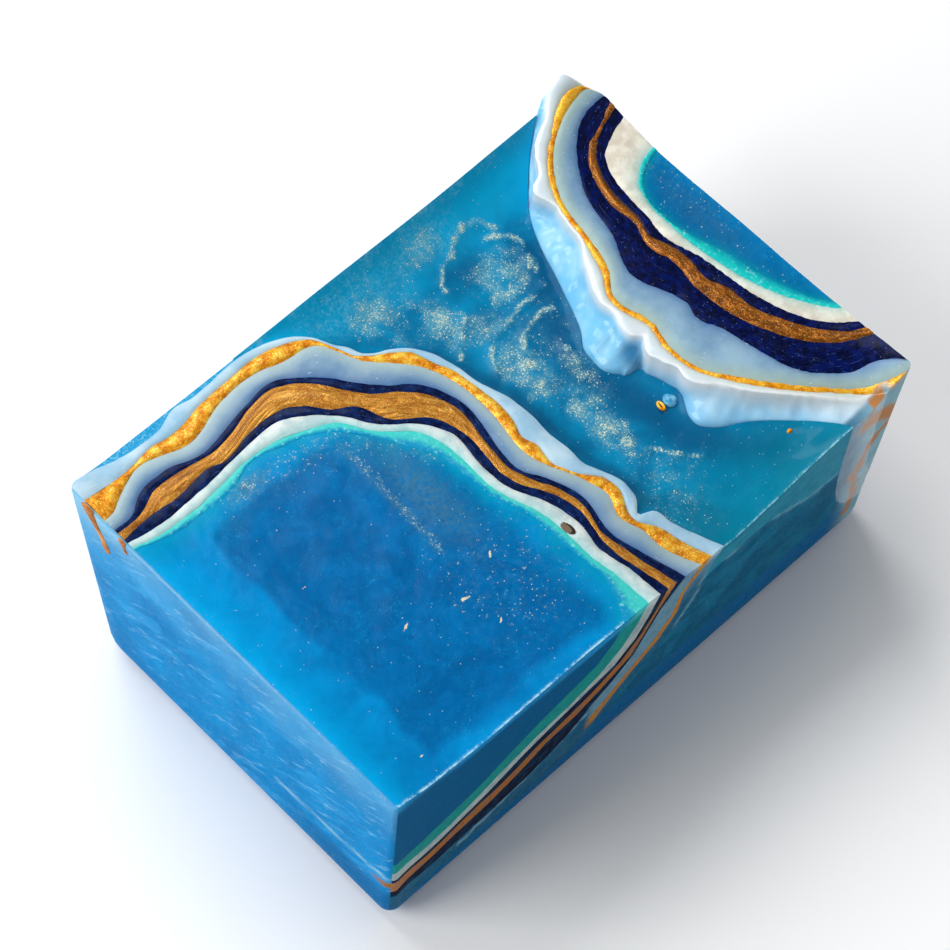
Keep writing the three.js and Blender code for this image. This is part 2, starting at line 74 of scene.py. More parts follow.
# Where each pour ends at the top: (x, y) from the short end round to the long side.
FRONT_OUTLINES = {
    "core": ((0.2, 46.7), (4.6, 45.6), (9.7, 45.2), (14.8, 45.2), (19.8, 46.6), (23.2, 45.8),
             (27.8, 44.2), (29.8, 42.8), (35.4, 35.2), (37.2, 32.2), (38, 27.8), (38.4, 23.8),
             (40.3, 17.6), (40.6, 11.6), (41.2, 6.2), (40, 2.4), (38.6, 0)),
    "teal": ((0.2, 47.1), (4.6, 46.4), (12.7, 46.4), (19.8, 47.1), (22.5, 46.9), (28.3, 45),
             (31.2, 43.4), (32.9, 40.6), (38.4, 34.5), (39.2, 31.4), (39.2, 25.1), (41.7, 16.2),
             (42, 9.8), (42.8, 4.5), (43, 0)),
    "white": ((0.2, 48), (4.6, 47.6), (12.7, 47.8), (19.8, 48.5), (25.8, 48.5), (27.2, 47.9),
              (32.5, 43.3), (34.2, 40.6), (39.7, 35.2), (41, 31.8), (40.5, 28.2), (40.5, 24.6),
              (43.5, 17.2), (44.2, 13.5), (43.7, 9.8), (44.7, 5), (45.2, 0)),
    "inner_navy": ((0.2, 48.6), (4.6, 49.2), (9.7, 49), (14.7, 49.5), (17.3, 48.9), (21.5, 49.7),
                   (24.7, 49.9), (28.2, 49.1), (29.7, 47.9), (31.8, 45.4), (34.5, 43.5), (36.1, 39.9),
                   (41, 35.3), (42, 32), (41.6, 24.7), (45, 17.2), (45.5, 14.9), (44.8, 9.8),
                   (46.6, 0)),
    "bronze": ((0.2, 49.8), (4.6, 50.2), (7.8, 51.6), (9.7, 51.7), (13.7, 51.3), (16.2, 50.8),
               (19.7, 51.1), (24.7, 52.4), (28.2, 52.6), (30.4, 51.5), (32.7, 49.6), (35, 46.2),
               (37.3, 43.5), (40.4, 41.1), (42.6, 38.4), (43.8, 35.1), (43, 27.9), (42.9, 24.8),
               (43.6, 22.4), (45.7, 18.5), (46.4, 14.5), (45.6, 11.6), (46.4, 7), (48.2, 0)),
    "outer_navy": ((-0.3, 50.4), (4, 51), (5.9, 52.3), (9.7, 52.9), (16.2, 51.5), (24.7, 53),
                   (28.2, 53.4), (29.7, 52.9), (32.4, 51), (34.7, 48.8), (37, 45.8), (39.6, 43.1),
                   (41.6, 41.6), (42.9, 40.1), (44.7, 36), (44.9, 34.8), (43.7, 27.1), (43.5, 24.4),
                   (45.6, 20.4), (47.2, 15.8), (46.4, 10.8), (47.6, 6), (49.8, 0)),
    "pale": ((0.5, 52.3), (2.2, 52.6), (4, 53.7), (7.4, 55.2), (17, 53.8), (23.1, 55.6), (27.6, 55.7),
             (33.6, 54.2), (35.3, 54.1), (39.8, 47.5), (41.9, 45.4), (44.9, 41.7), (46.2, 38.1),
             (46.7, 34.2), (46.5, 30.1), (45.9, 26.2), (46, 24.9), (49.1, 17.4), (50, 14), (49, 11.3),
             (50.1, 7.8), (50.4, 5), (52.8, 0)),
    "gold": ((1.3, 56), (7.1, 55.9), (11.7, 56.4), (16.4, 56.1), (19.7, 56.8), (24.7, 57.1),
             (31.5, 57), (34.4, 56), (36.6, 54.6), (37.8, 52.5), (38.5, 50.2), (40.2, 48.2),
             (42.9, 46.4), (45.1, 44.5), (46.1, 41.6), (47, 40), (47.9, 35.6), (48.3, 31.8),
             (47.9, 28.8), (47.4, 27.6), (47.9, 24.7), (47.5, 22.4), (49, 18.8), (51.3, 16.1),
             (51.7, 14.2), (50.1, 10.2), (52.1, 7), (53.4, 3), (54.8, 0)),
    "shell": ((-0.1, 59), (4.7, 58.7), (7.4, 58), (11.7, 57.6), (14.7, 57.8), (16.4, 58.5),
              (20.7, 58.3), (29.7, 58.5), (31.1, 58.2), (35.3, 56.3), (37.2, 54.3), (38.4, 52),
              (39.7, 50.2), (40.1, 49), (41.3, 47.8), (42.9, 47), (45.4, 45.2), (47.7, 40.5),
              (48.5, 36.2), (49.9, 32.1), (50.4, 28.3), (50.3, 24.8), (50.7, 22.2), (50.6, 20.2),
              (52.8, 13.5), (52.2, 11.2), (51.2, 10.1), (53, 9.2), (53.8, 6.7), (56.9, 0)),
}

# Side section of the front geode on the long face, (x, z), from the short end up to the top.
FRONT_SECTIONS = {
    "core": ((0, -18), (7.4, -17.7), (13.6, -16.4), (30, -11.1), (34.9, -9.9), (37, -8), (38.6, -4)),
    "teal": ((0, -20.8), (5.5, -21.6), (11, -21.4), (20.5, -17.9), (26, -16.3), (31.8, -15.2),
             (35.5, -13.6), (38, -11.4), (40, -8.6), (41.6, -4)),
    "white": ((0, -23.6), (10.5, -23.5), (15.5, -22.4), (26, -18.3), (31.8, -16.8), (36.8, -15.8),
              (39.3, -14.6), (41.1, -12.4), (44.2, -4.5)),
    "inner_navy": ((0, -24.4), (10.5, -24.7), (15.5, -23.6), (20.5, -23), (25, -20.8), (35.5, -17.9),
                   (39.3, -15.8), (41.8, -13), (45.4, -4.8)),
    "bronze": ((0, -27.9), (10.5, -27.3), (20.5, -26), (25, -24.3), (29.3, -22.3), (33, -22),
               (36.8, -20.2), (40.5, -18.9), (43, -16), (44.6, -11.8), (48.2, -5)),
    "outer_navy": ((0, -29.5), (5, -30.2), (16.8, -30.5), (28, -28.6), (34.9, -24.6), (36, -22.8),
                   (41, -19.9), (43.6, -16), (45.5, -11), (49.7, -5)),
    "pale": ((0, -31.2), (13, -31.8), (25, -31), (32, -29.6), (38, -26.8), (40, -24.4), (45.5, -20),
             (48, -17.4), (49.9, -13), (50.2, -9.3), (52.7, -5.2)),
    "gold": ((0, -32.4), (20, -33), (33, -31.6), (38.6, -29.3), (41, -25.6), (48, -20), (49.9, -17.4),
             (51.4, -9.9), (54.8, -5.4)),
    "shell": ((0, -34), (20, -34.6), (35, -33.6), (41, -29), (43, -26), (48, -23), (51.8, -19.3),
              (53, -16.8), (53.6, -13), (55.2, -10), (56.9, -6)),
}

# Rear geode, from the far side round to the near side.
REAR_OUTLINES = {
    "core": ((90.1, 45.5), (86.9, 44.5), (85.3, 43.4), (84.3, 42.1), (83.3, 36.1), (83.8, 32.8),
             (85.1, 28.6), (86, 23.6), (87.3, 18.8), (88.2, 16.4), (89.8, 13.8)),
    "teal": ((90.1, 46.1), (86.9, 45.3), (85.3, 44.2), (84.1, 43), (83.6, 41.1), (82.8, 33.7),
             (83.2, 29.3), (85.1, 20.6), (86.9, 16.7), (89.8, 12.4)),
    "white": ((89.8, 51.7), (85.9, 50.3), (84.4, 49.5), (83.4, 48.2), (82.7, 46.7), (82, 43.2),
              (81.6, 38.9), (81, 36.4), (82.2, 29.9), (83.6, 19.9), (84.7, 16.4), (87.4, 11.8),
              (90.5, 9.1)),
    "inner_navy": ((89.6, 53.2), (84.9, 51.4), (83.3, 50.2), (82.2, 48.6), (80.7, 43.4), (80.6, 39.7),
                   (79.7, 36.3), (80.3, 34.5), (80.9, 30.8), (80.5, 27.1), (81.5, 24.5), (81.9, 19.9),
                   (82.8, 17.5), (86.9, 10.6), (88.3, 9.1), (90.5, 7.9)),
    "bronze": ((89.5, 54.1), (85.7, 52.4), (83.8, 51.8), (82.1, 50.4), (80.9, 48.7), (80.1, 46.8),
               (79.3, 43.4), (79.6, 39.7), (78.4, 36.1), (78.4, 34.5), (79, 32.3), (79, 30.4),
               (78.5, 27.1), (78.6, 24.9), (79.3, 20.5), (80.2, 17.9), (82.2, 13.7), (86.7, 8.6),
               (90.5, 6.5)),
    "outer_navy": ((90, 55.4), (85.4, 54.8), (81.9, 52.4), (80.2, 50.4), (77.9, 46.6), (76.2, 40.1),
                   (73.7, 33.7), (75.6, 28.2), (76, 26.2), (75.4, 24.1), (76.8, 20.5), (77.6, 16.5),
                   (80.2, 9.3), (82.9, 6.6), (85, 5), (87, 4.1), (88.7, 2.8), (90.4, 0.4)),
    "pale": ((90, 57), (88.8, 57.4), (85.6, 57.1), (82.1, 55.8), (78.6, 53.4), (74.8, 47.8),
             (73.5, 41.5), (72, 36.5), (69.7, 33.2), (69.5, 31.7), (70.5, 28.6), (70.7, 26.9),
             (69.9, 23.7), (69.8, 22), (70.7, 18.1), (72.9, 14.9), (79.2, 7.5), (87.4, 0.6)),
    "gold": ((90, 57.6), (86.5, 58.4), (79.8, 55.2), (78.1, 53.9), (76.3, 52), (74.1, 48),
             (72.8, 41.8), (72, 39.2), (70.9, 36.5), (69, 33.4), (68.9, 31.9), (70, 26.7),
             (69.2, 23.7), (69.2, 22), (70, 18.3), (72.1, 14.7), (78.7, 7), (82.4, 3.7), (86.6, -0.6)),
    "crest": ((90, 60.9), (88.4, 61), (83.8, 59.9), (81.4, 57.8), (79.1, 56.8), (77.5, 55.8),
              (75.4, 52.8), (72.8, 50.6), (73.3, 49.1), (69.8, 38.1), (68.5, 35.7), (67.9, 33.8),
              (68.1, 31.7), (67.4, 27.8), (68.4, 26.5), (67.3, 25.2), (67.6, 22.6), (68.4, 20.2),
              (68.2, 18.7), (68.9, 17), (70.5, 15.4), (72.4, 12.7), (77.6, 7.2), (83.3, 1.8),
              (85.2, 0.6)),
    "foot": ((87.4, 61.3), (84.2, 60.7), (82.6, 59.9), (77.3, 56.3), (75.9, 55), (71.2, 49.6),
             (69.9, 46.8), (67.5, 40.2), (65.4, 35.3), (64.5, 33.6), (63.2, 32), (62.8, 29.9),
             (62.9, 27.6), (64.4, 25.9), (66.4, 25.2), (68.2, 25.4), (68.5, 24), (67.5, 21.1),
             (68, 19.2), (66.2, 15.8), (66.1, 14.4), (67, 13), (71.4, 9.8), (73.6, 7.8), (78.3, 2.6),
             (81.4, -2)),
}
REAR_DEPTHS = {"core": 16, "teal": 18, "white": 23, "inner_navy": 25, "bronze": 27,
               "outer_navy": 29.5, "pale": 33, "gold": 34.6, "shell": 36.2}
REAR_SQUARENESS = 5

# Heights of the three top surfaces over the plan.
FRONT_TOP = {
    "x": (-6, 0, 5, 12, 35, 45, 51, 60),
    "y": (-6, 0, 15, 35, 52, 66),
    "z": ((0, 0, 0, 0, 0, 0), (0, 0, 0, 0, 0, 0), (-1.5, -1.5, -0.9, -0.6, -0.6, -0.8),
          (-2.5, -2.5, -1.5, -1, -0.8, -0.8), (-3, -3, -1.9, -1.2, -0.8, -0.6),
          (-4.2, -4.2, -2.8, -1.6, -0.8, -0.2), (-5.9, -5.9, -3.6, -2, -0.8, 0),
          (-7, -7, -4, -2, -0.8, 0)),
}
GEL_TOP = {
    "x": (18, 34, 44, 52, 60, 66, 72, 78, 96),
    "y": (-6, 0, 8, 30, 49, 55, 57.6, 59.4),
    "z": ((-3, -3, -3, -4, -3.8, -2.8, -1.5, -0.6), (-4, -4, -4, -4.5, -4.2, -2.9, -1.5, -0.3),
          (-5, -5, -5, -5, -4.5, -3.2, -1.6, 0), (-6.2, -6.2, -5.6, -5, -4.6, -3.4, -1.8, 0),
          (-7.2, -7.2, -6.2, -5.2, -4.6, -3.4, -1.8, 0), (-6.3, -6.3, -5.8, -5.2, -4.6, -3.4, -1.7, 0.2),
          (-4.9, -4.9, -5, -5.2, -4.6, -3.3, -1.5, 0.6), (-4.2, -4.2, -4.8, -5.2, -4.6, -3, -1.2, 0.9),
          (-4.2, -4.2, -4.8, -5.2, -4.6, -3, -1.2, 0.9)),
}
REAR_TOP = {
    "x": (60, 74, 80, 84, 87, 96),
    "y": (-6, 0, 8, 30, 50, 58, 66),
    "z": ((-2.6, -2.6, -2, -1.2, -0.6, 0.6, 1.2), (-3.8, -3.8, -2.4, -1.2, -0.6, 0.6, 1.3),
          (-3.7, -3.7, -2.2, -1.2, -0.8, 0.8, 1.4), (-3.2, -3.2, -1.8, -1.3, -1, 1.1, 2),
          (-1.3, -1.1, -1.1, -1.4, -1.2, 0.9, 2.2), (1.2, 1.1, -0.4, -1.4, -1.2, 0.4, 1.4)),
}
POUR_LINE = ((10, 3), (24, 2), (34, -8), (50, -12), (67, -12.4), (74, -15.6), (96, -16))

GEL_START = 27.6
GEL_GRID = 0.4

# How far each layer's top crowns above the common surface.
CROWNS = {"core": 0.0, "teal": 0.08, "white": 0.22, "inner_navy": 0.06, "bronze": 0.22,
          "outer_navy": 0.06, "pale": 0.2, "gold": 0.34, "shell": 0.25}


# ------------------------------------------------------------------ curves and heights
def hermite(xs, ys, x):
    """Smooth curve through (xs, ys) at x; ys may hold one column for each x."""
    xs = np.asarray(xs, float)
    ys = np.asarray(ys, float)
    x = np.clip(x, xs[0], xs[-1])
    slopes = np.gradient(ys, xs, axis=0)
    i = np.clip(np.searchsorted(xs, x) - 1, 0, len(xs) - 2)
    span = xs[i + 1] - xs[i]
    t = (x - xs[i]) / span
    low = i if ys.ndim == 1 else (i, np.arange(len(x)))
    high = i + 1 if ys.ndim == 1 else (i + 1, np.arange(len(x)))
    a = ys[low] * (2 * t**3 - 3 * t**2 + 1) + ys[high] * (3 * t**2 - 2 * t**3)
    return a + span * (slopes[low] * (t**3 - 2 * t**2 + t) + slopes[high] * (t**3 - t**2))


def height(table, x, y):
    """Height of a top surface over the plan, from a table of heights."""
    x, y = np.asarray(x, float).ravel(), np.asarray(y, float).ravel()
    rows = np.stack([hermite(table["y"], row, y) for row in table["z"]])
    return hermite(table["x"], rows, x)


def grain(x, y, z, size, seed=0):
    """Repeatable smooth noise, about -1 to 1, with features of the given size in mm."""
    points = np.stack(np.broadcast_arrays(x, y, z), -1).reshape(-1, 3) / size + seed * 7.3
    return np.array([noise.noise(p) for p in points])


def blurred(values, reach=3, width=1.3):
    """A light blur along the headings."""
    kernel = np.exp(-(np.arange(-reach, reach + 1) / width) ** 2)
    return np.convolve(np.pad(values, reach, "edge"), kernel / kernel.sum(), "valid")


def heading_of(x, y, centre):
    """Heading from a centre in degrees, from -90 up to 270, so that neither geode wraps round."""
    angle = np.degrees(np.arctan2(np.asarray(y) - centre[1], np.asarray(x) - centre[0]))
    return (angle + 450) % 360 - 90


def outline_reach(points, centre, headings):
    """Distance from the centre to an outline at each heading."""
    points = np.asarray(points, float)
    angle = heading_of(points[:, 0], points[:, 1], centre)
    reach = np.hypot(points[:, 0] - centre[0], points[:, 1] - centre[1])
    order = np.argsort(angle)
    return hermite(angle[order], reach[order], headings)


class Geode:
    """Nested bowls that are star-shaped about a point outside the block."""

    def __init__(self, centre, outlines, headings):
        self.centre = centre
        self.headings = headings
        self.reach = {}
        previous = None
        for k, layer in enumerate(LAYERS):
            name = "crest" if layer == "shell" and "crest" in outlines else layer
            reach = outline_reach(outlines[name], centre, headings)
            arc = np.radians(headings) * 55
            wobble = grain(arc, k * 9.0, 0, 1.6, k) * 0.1 + grain(arc, k * 9.0, 5, 0.6, k) * 0.04
            reach = reach + wobble
            if previous is not None:
                reach = np.maximum(reach, previous + THINNEST)
            self.reach[layer] = previous = reach

    def place(self, reach):
        """x and y of a reach given at every heading."""
        angle = np.radians(self.headings)
        return self.centre[0] + reach * np.cos(angle), self.centre[1] + reach * np.sin(angle)

    def across(self, x, y, layer):
        """Distance outside a layer's outline, in mm, and arc length along it."""
        heading = heading_of(x, y, self.centre)
        reach = np.interp(heading, self.headings, self.reach[layer])
        r = np.hypot(x - self.centre[0], y - self.centre[1])
        return r - reach, np.radians(heading) * reach


class FrontGeode(Geode):
    """Bowls that meet the outlines on top and the side sections on the long near face."""

    def bowl(self, layer, dips):
        """Distance from the centre to the wall, for each heading and each dip below level."""
        section = np.asarray(FRONT_SECTIONS[layer], float)
        dip = np.degrees(np.arctan2(-section[:, 1], section[:, 0] - self.centre[0]))
        side = np.hypot(section[:, 0] - self.centre[0], section[:, 1])
        order = np.argsort(dip)
        at = hermite(dip[order], side[order], dips.ravel()).reshape(dips.shape)
        blend = np.clip(dips / 90, 0, 1) ** 1.5
        plan = self.reach[layer][:, None]
        return plan * at / side[order][0] * (1 - blend) + at * blend


class RearGeode(Geode):
    """Bowls that run from the outlines on top down to a depth of their own."""

    def bowl(self, layer, dips):
        """Distance from the centre to the wall, for each heading and each dip below level."""
        plan = self.foot if layer == "shell" else self.reach[layer]
        p = REAR_SQUARENESS
        level = np.cos(np.radians(dips)) / plan[:, None]
        down = np.sin(np.radians(np.maximum(dips, 0))) / REAR_DEPTHS[layer]
        return (level**p + down**p) ** (-1 / p)


def front_top(x, y):
    """Height of the front geode's top."""
    return height(FRONT_TOP, x, y)


def rear_top(x, y):
    """Rear height, with the raised lip at the far side and the worn-off far corner."""
    x, y = np.ravel(x), np.ravel(y)
    lip = 1.2 * np.exp(-(((x - 86.5) / 3.0) ** 2 + ((y - 60) / 2.0) ** 2))
    beyond = np.maximum(0.86 * (x - 88.4) + 0.5 * (y - 57.5), 0)
    return height(REAR_TOP, x, y) + lip - 1.1 * beyond**1.5


front_headings = np.concatenate([[-20, -8], np.arange(0, 92.01, 0.45), [100, 112]])
rear_headings = np.concatenate([[94, 100], np.arange(104, 256.01, 0.55), [260, 266]])
FRONT = FrontGeode(FRONT_CENTRE, FRONT_OUTLINES, front_headings)
REAR = RearGeode(REAR_CENTRE, REAR_OUTLINES, rear_headings)
least_foot = REAR.reach["shell"] + FOOT_MARGIN
drawn_foot = outline_reach(REAR_OUTLINES["foot"], REAR_CENTRE, rear_headings)
REAR.foot = np.maximum(blurred(np.maximum(drawn_foot, least_foot)), least_foot)
REAR.foot_z = height(GEL_TOP, *REAR.place(REAR.foot)) - FOOT_SINK


# ------------------------------------------------------------------ mesh helpers
def make_object(name, points, faces):
    """A mesh object from points in the layout's millimetres."""
    mesh = bpy.data.meshes.new(name)
    placed = np.asarray(points, float) / 1000 + np.array(ORIGIN)
    mesh.from_pydata(placed.tolist(), [], faces)
    mesh.update()
    obj = bpy.data.objects.new(name, mesh)
    bpy.context.scene.collection.objects.link(obj)
    return obj


def boolean(obj, other, operation):
    """Cuts obj with another closed mesh and keeps the result as its mesh."""
    modifier = obj.modifiers.new("cut", "BOOLEAN")
    modifier.operation = operation
    modifier.object = other
    modifier.solver = "MANIFOLD"
    bpy.context.view_layer.update()
    graph = bpy.context.evaluated_depsgraph_get()
    mesh = bpy.data.meshes.new_from_object(obj.evaluated_get(graph))
    obj.modifiers.clear()
    obj.data = mesh
    if not mesh.vertices:
        raise RuntimeError(f"{obj.name}: {operation} left nothing")


def plan_of(obj):
    """Vertex positions in the layout's millimetres."""
    co = np.empty(len(obj.data.vertices) * 3)
    obj.data.vertices.foreach_get("co", co)
    return (co.reshape(-1, 3) - np.array(ORIGIN)) * 1000


def store(obj, name, values):
    """Keeps one number for each vertex, for the materials to read."""
    attribute = obj.data.attributes.get(name) or obj.data.attributes.new(name, "FLOAT", "POINT")
    attribute.data.foreach_set("value", np.asarray(values, np.float32))


def tube_faces(rings, around):
    """Quads between rings of points, each ring closed on itself."""
    faces = []
    for i in range(rings - 1):
        for j in range(around):
            a, b = i * around + j, i * around + (j + 1) % around
            faces.append((a, b, b + around, a + around))
    return faces


def end_caps(rings, around):
    """Flat caps on the first and the last of those rings."""
    return [tuple(reversed(range(around))), tuple(range((rings - 1) * around, rings * around))]


def smooth(obj, angle=32):
    """Smooth shading with sharp edges past the given angle."""
    obj.data.shade_smooth()
    obj.data.set_sharp_from_angle(angle=math.radians(angle))


CORNER_STEPS = 8
SIDE_STEPS = (58, 60, 58, 120)      # rear, far, short near and long near side
ROUND_STEPS = 8                     # of the rounded bottom edge
ROWS, ROW_HEIGHT = 39, 0.82         # of the sides above it


def ring(inset, z, x0=0.0, bulge=0.0, spread=0.0):
    """Rounded rectangle at one height, counter-clockwise, finest on the long near side."""
    points = []
    deep = min(max(-z / HEIGHT, 0.0), 1.0)
    near, far = -spread, WIDTH + bulge + spread
    corners = ((LENGTH, near, -90, 0.8 + 2.4 * deep), (LENGTH, far, 0, 2.4 + 2 * deep),
               (x0, far, 90, 1.6 + 4.5 * deep), (x0, near, 180, 0.45 + 1.4 * deep))
    for x, y, start, r in corners:
        cx = x - math.copysign(inset + r, x - LENGTH / 2)
        cy = y - math.copysign(inset + r, y - WIDTH / 2)
        for step in range(CORNER_STEPS + 1):
            a = math.radians(start + step * 90 / CORNER_STEPS)
            points.append((cx + r * math.cos(a), cy + r * math.sin(a), z))
    full = []
    for n, (a, b) in enumerate(zip(points, points[1:] + points[:1])):
        full.append(a)
        corner, arc_step = divmod(n, CORNER_STEPS + 1)
        if arc_step == CORNER_STEPS:
            count = SIDE_STEPS[corner]
            for step in range(1, count):
                t = step / count
                full.append((a[0] + (b[0] - a[0]) * t, a[1] + (b[1] - a[1]) * t, z))
    return full


def blank(name, x0=0.0, top=5.0, bulge=0.0, spread=0.0):
    """The cut bar: drafted sides, rounded bottom; a bulge lets the far lip hang over.

    A spread widens it on both long sides, for a cutter that must reach past the bar.
    """
    levels = []
    for step in range(ROUND_STEPS + 1):
        a = math.radians(90 * step / ROUND_STEPS)
        levels.append((-HEIGHT + BOTTOM_RADIUS * (1 - math.cos(a)),
                       DRAFT + BOTTOM_RADIUS * (1 - math.sin(a)), 0.0))
    for step in range(1, ROWS + 1):
        z = BOTTOM_RADIUS - HEIGHT + step * ROW_HEIGHT
        levels.append((z, DRAFT * z / (BOTTOM_RADIUS - HEIGHT), 0.0))
    if top > 0:
        levels += [(-3.0, 0.08, 0.0), (-0.5, 0.0, bulge), (top, 0.0, bulge)]
    else:
        levels += [(top, 0.0, 0.0)]
    rings = [ring(inset, z, x0, over, spread) for z, inset, over in levels]
    count = len(rings[0])
    points = [p for level in rings for p in level]
    bottom, lid = end_caps(len(rings), count)
    return make_object(name, points, [bottom, *tube_faces(len(rings), count), lid])


def swept(name, centre, headings, loops, poles, level):
    """Closed solid from one vertical section per heading; poles are column numbers on the axis.

    The first columns, up to level, are the top and stay quads. The walls are split into triangles
    along the same diagonal whether they run down or up, so that neighbours share every facet.
    """
    loops = np.asarray(loops, float)
    steps, columns = loops.shape[:2]
    index = np.arange(steps * columns).reshape(steps, columns)
    for pole in poles:
        index[:, pole] = index[0, pole]
    angle = np.radians(headings)[:, None]
    points = np.stack([centre[0] + loops[:, :, 0] * np.cos(angle),
                       centre[1] + loops[:, :, 0] * np.sin(angle), loops[:, :, 1]], -1)
    faces = []
    for i in range(steps - 1):
        for j in range(columns):
            quad = (index[i, j], index[i, (j + 1) % columns],
                    index[i + 1, (j + 1) % columns], index[i + 1, j])
            if j < level:
                pieces = (quad,)
            elif j < max(poles):
                pieces = ((quad[0], quad[1], quad[2]), (quad[0], quad[2], quad[3]))
            else:
                pieces = ((quad[1], quad[2], quad[3]), (quad[1], quad[3], quad[0]))
            for piece in pieces:
                face = tuple(int(v) for n, v in enumerate(piece) if v not in piece[:n])
                if len(face) > 2:
                    faces.append(face)
    faces.append(tuple(int(v) for v in reversed(index[0])))
    faces.append(tuple(int(v) for v in index[-1]))
    used = sorted({v for face in faces for v in face})
    renumber = {v: n for n, v in enumerate(used)}
    faces = [tuple(renumber[v] for v in face) for face in faces]
    return make_object(name, points.reshape(-1, 3)[used], faces)


def wall(geode, layer, top_z, top_r):
    """Wall of one bowl from its top edge down to just short of the axis: (r, z) per heading."""
    start = np.degrees(np.arctan2(-top_z, top_r))
    share = np.linspace(0, 1, WALL_STEPS + 1)[1:]
    dips = start[:, None] + (STEEPEST - start[:, None]) * share[None, :]
    reach = geode.bowl(layer, dips)
    return np.stack([reach * np.cos(np.radians(dips)), -reach * np.sin(np.radians(dips))], -1)


def on_axis(z, steps):
    """One point on the axis at height z, repeated for every heading."""
    return np.tile([[[0.0, z]]], (steps, 1, 1))


def lip_slope(geode, top_r, top_z):
    """The rear shell's overflow, from the crest down to the foot of its blobs, with soft ripples."""
    steps = 18
    share = np.linspace(0, 1, steps + 1)[1:][None, :]
    run = (geode.foot - top_r)[:, None]
    base = geode.foot_z[:, None]
    tongue = 0.50 * np.clip(run / 5, 0, 1)
    fall = (1 - tongue) * np.exp(-share * 4.2) * (1 - share) + tongue * (1 - share**2.6) ** 0.55
    r = top_r[:, None] + run * share
    z = base + (top_z[:, None] - base) * fall
    around = np.radians(geode.headings)[:, None] * 34
    ripple = grain(around, r * 0.12, 3, 1.5, 41).reshape(r.shape)
    fade = np.sin(np.linspace(0, math.pi, steps + 1)[1:])[None, :]
    return np.stack([r, z + 0.32 * ripple * fade], -1)


def pour(geode, prefix, k, top, block):
    """One nested pour with its own crowned top, cut to the block."""
    layer = LAYERS[k]
    outer = geode.reach[layer]
    inner = geode.reach[LAYERS[k - 1]] if k else np.zeros_like(outer)
    middle = float(np.median(outer - inner))
    spans = int(max(6, min(90, middle / (0.35 if k else 0.62))))
    t = np.linspace(0, 1, spans + 1)[None, :]
    r = inner[:, None] + (outer - inner)[:, None] * t
    angle = np.radians(geode.headings)[:, None]
    x = geode.centre[0] + r * np.cos(angle)
    y = geode.centre[1] + r * np.sin(angle)
    z = top(x, y).reshape(x.shape)
    crown = np.minimum(CROWNS[layer], 0.16 * (outer - inner))[:, None]
    z = z + crown * (1 - np.abs(2 * t - 1) ** 3.0)
    z = z + (grain(x, y, 0, 4.0, k) * 0.10 + grain(x, y, 0, 1.3, k + 20) * 0.035).reshape(x.shape)
    loops = [np.stack([r, z], -1)]
    edge_r, edge_z = r[:, -1], z[:, -1]
    wall_z = top(x[:, -1], y[:, -1])
    if layer == "shell" and prefix == "rear":
        slope = lip_slope(geode, edge_r, edge_z)
        loops.append(slope)
        edge_r, wall_z = slope[:, -1, 0], slope[:, -1, 1]
    level = sum(part.shape[1] for part in loops) - 1
    steps = len(geode.headings)
    outside = wall(geode, layer, wall_z, edge_r)
    loops += [outside, on_axis(outside[:, -1, 1].min() - POLE_DROP, steps)]
    outer_pole = level + WALL_STEPS + 1
    poles = [outer_pole, 0]
    if k:
        inside = wall(geode, LAYERS[k - 1], top(x[:, 0], y[:, 0]), r[:, 0])
        loops += [on_axis(inside[:, -1, 1].min() - POLE_DROP, steps), inside[:, ::-1]]
        poles = [outer_pole, outer_pole + 1]
    obj = swept(f"{prefix}_{NODES[k]}_look", geode.centre, geode.headings,
                np.concatenate(loops, 1), poles, level)
    boolean(obj, block, "INTERSECT")
    return obj


def hull_of(geode, name, block):
    """Everything inside a geode's outermost wall, carried straight up past the top."""
    steps = len(geode.headings)
    if geode is REAR:
        plan, top_z = geode.foot, geode.foot_z
    else:
        plan = geode.reach["shell"]
        top_z = front_top(*geode.place(plan))
    above = np.stack([plan, np.full(steps, CLEAR_TOP)], -1)[:, None]
    edge = np.stack([plan, top_z], -1)[:, None]
    outside = wall(geode, "shell", top_z, plan)
    loops = [on_axis(CLEAR_TOP, steps), above, edge, outside,
             on_axis(outside[:, -1, 1].min() - POLE_DROP, steps)]
    count = sum(part.shape[1] for part in loops)
    obj = swept(name, geode.centre, geode.headings, np.concatenate(loops, 1), [0, count - 1], 1)
    if block is not None:
        boolean(obj, block, "INTERSECT")
    return obj


def gel_height(x, y):
    """Gel level with a small rise where it wets the two geodes."""
    flat_x, flat_y = np.ravel(x), np.ravel(y)
    z = height(GEL_TOP, flat_x, flat_y)
    front_gap = np.maximum(FRONT.across(flat_x, flat_y, "shell")[0], 0)
    heading = heading_of(flat_x, flat_y, REAR_CENTRE)
    foot = np.interp(heading, REAR.headings, REAR.foot)
    rear_gap = np.maximum(np.hypot(flat_x - REAR_CENTRE[0], flat_y - REAR_CENTRE[1]) - foot, 0)
    shelf = np.maximum(front_top(flat_x, flat_y) - 0.3 - z, 0)
    z = z + shelf * np.exp(-front_gap / 1.1) + 0.15 * np.exp(-rear_gap / 0.6)
    for points, width, share in SWIRLS:
        z = z + 0.05 * share * near_line(flat_x, flat_y, points, max(width, 0.6))
    swirl = grain(flat_x, flat_y, 0, 6.0, 3) * 0.12 + grain(flat_x, flat_y, 0, 1.9, 5) * 0.06
    return z + swirl * np.clip((58.5 - flat_y) / 3, 0, 1)


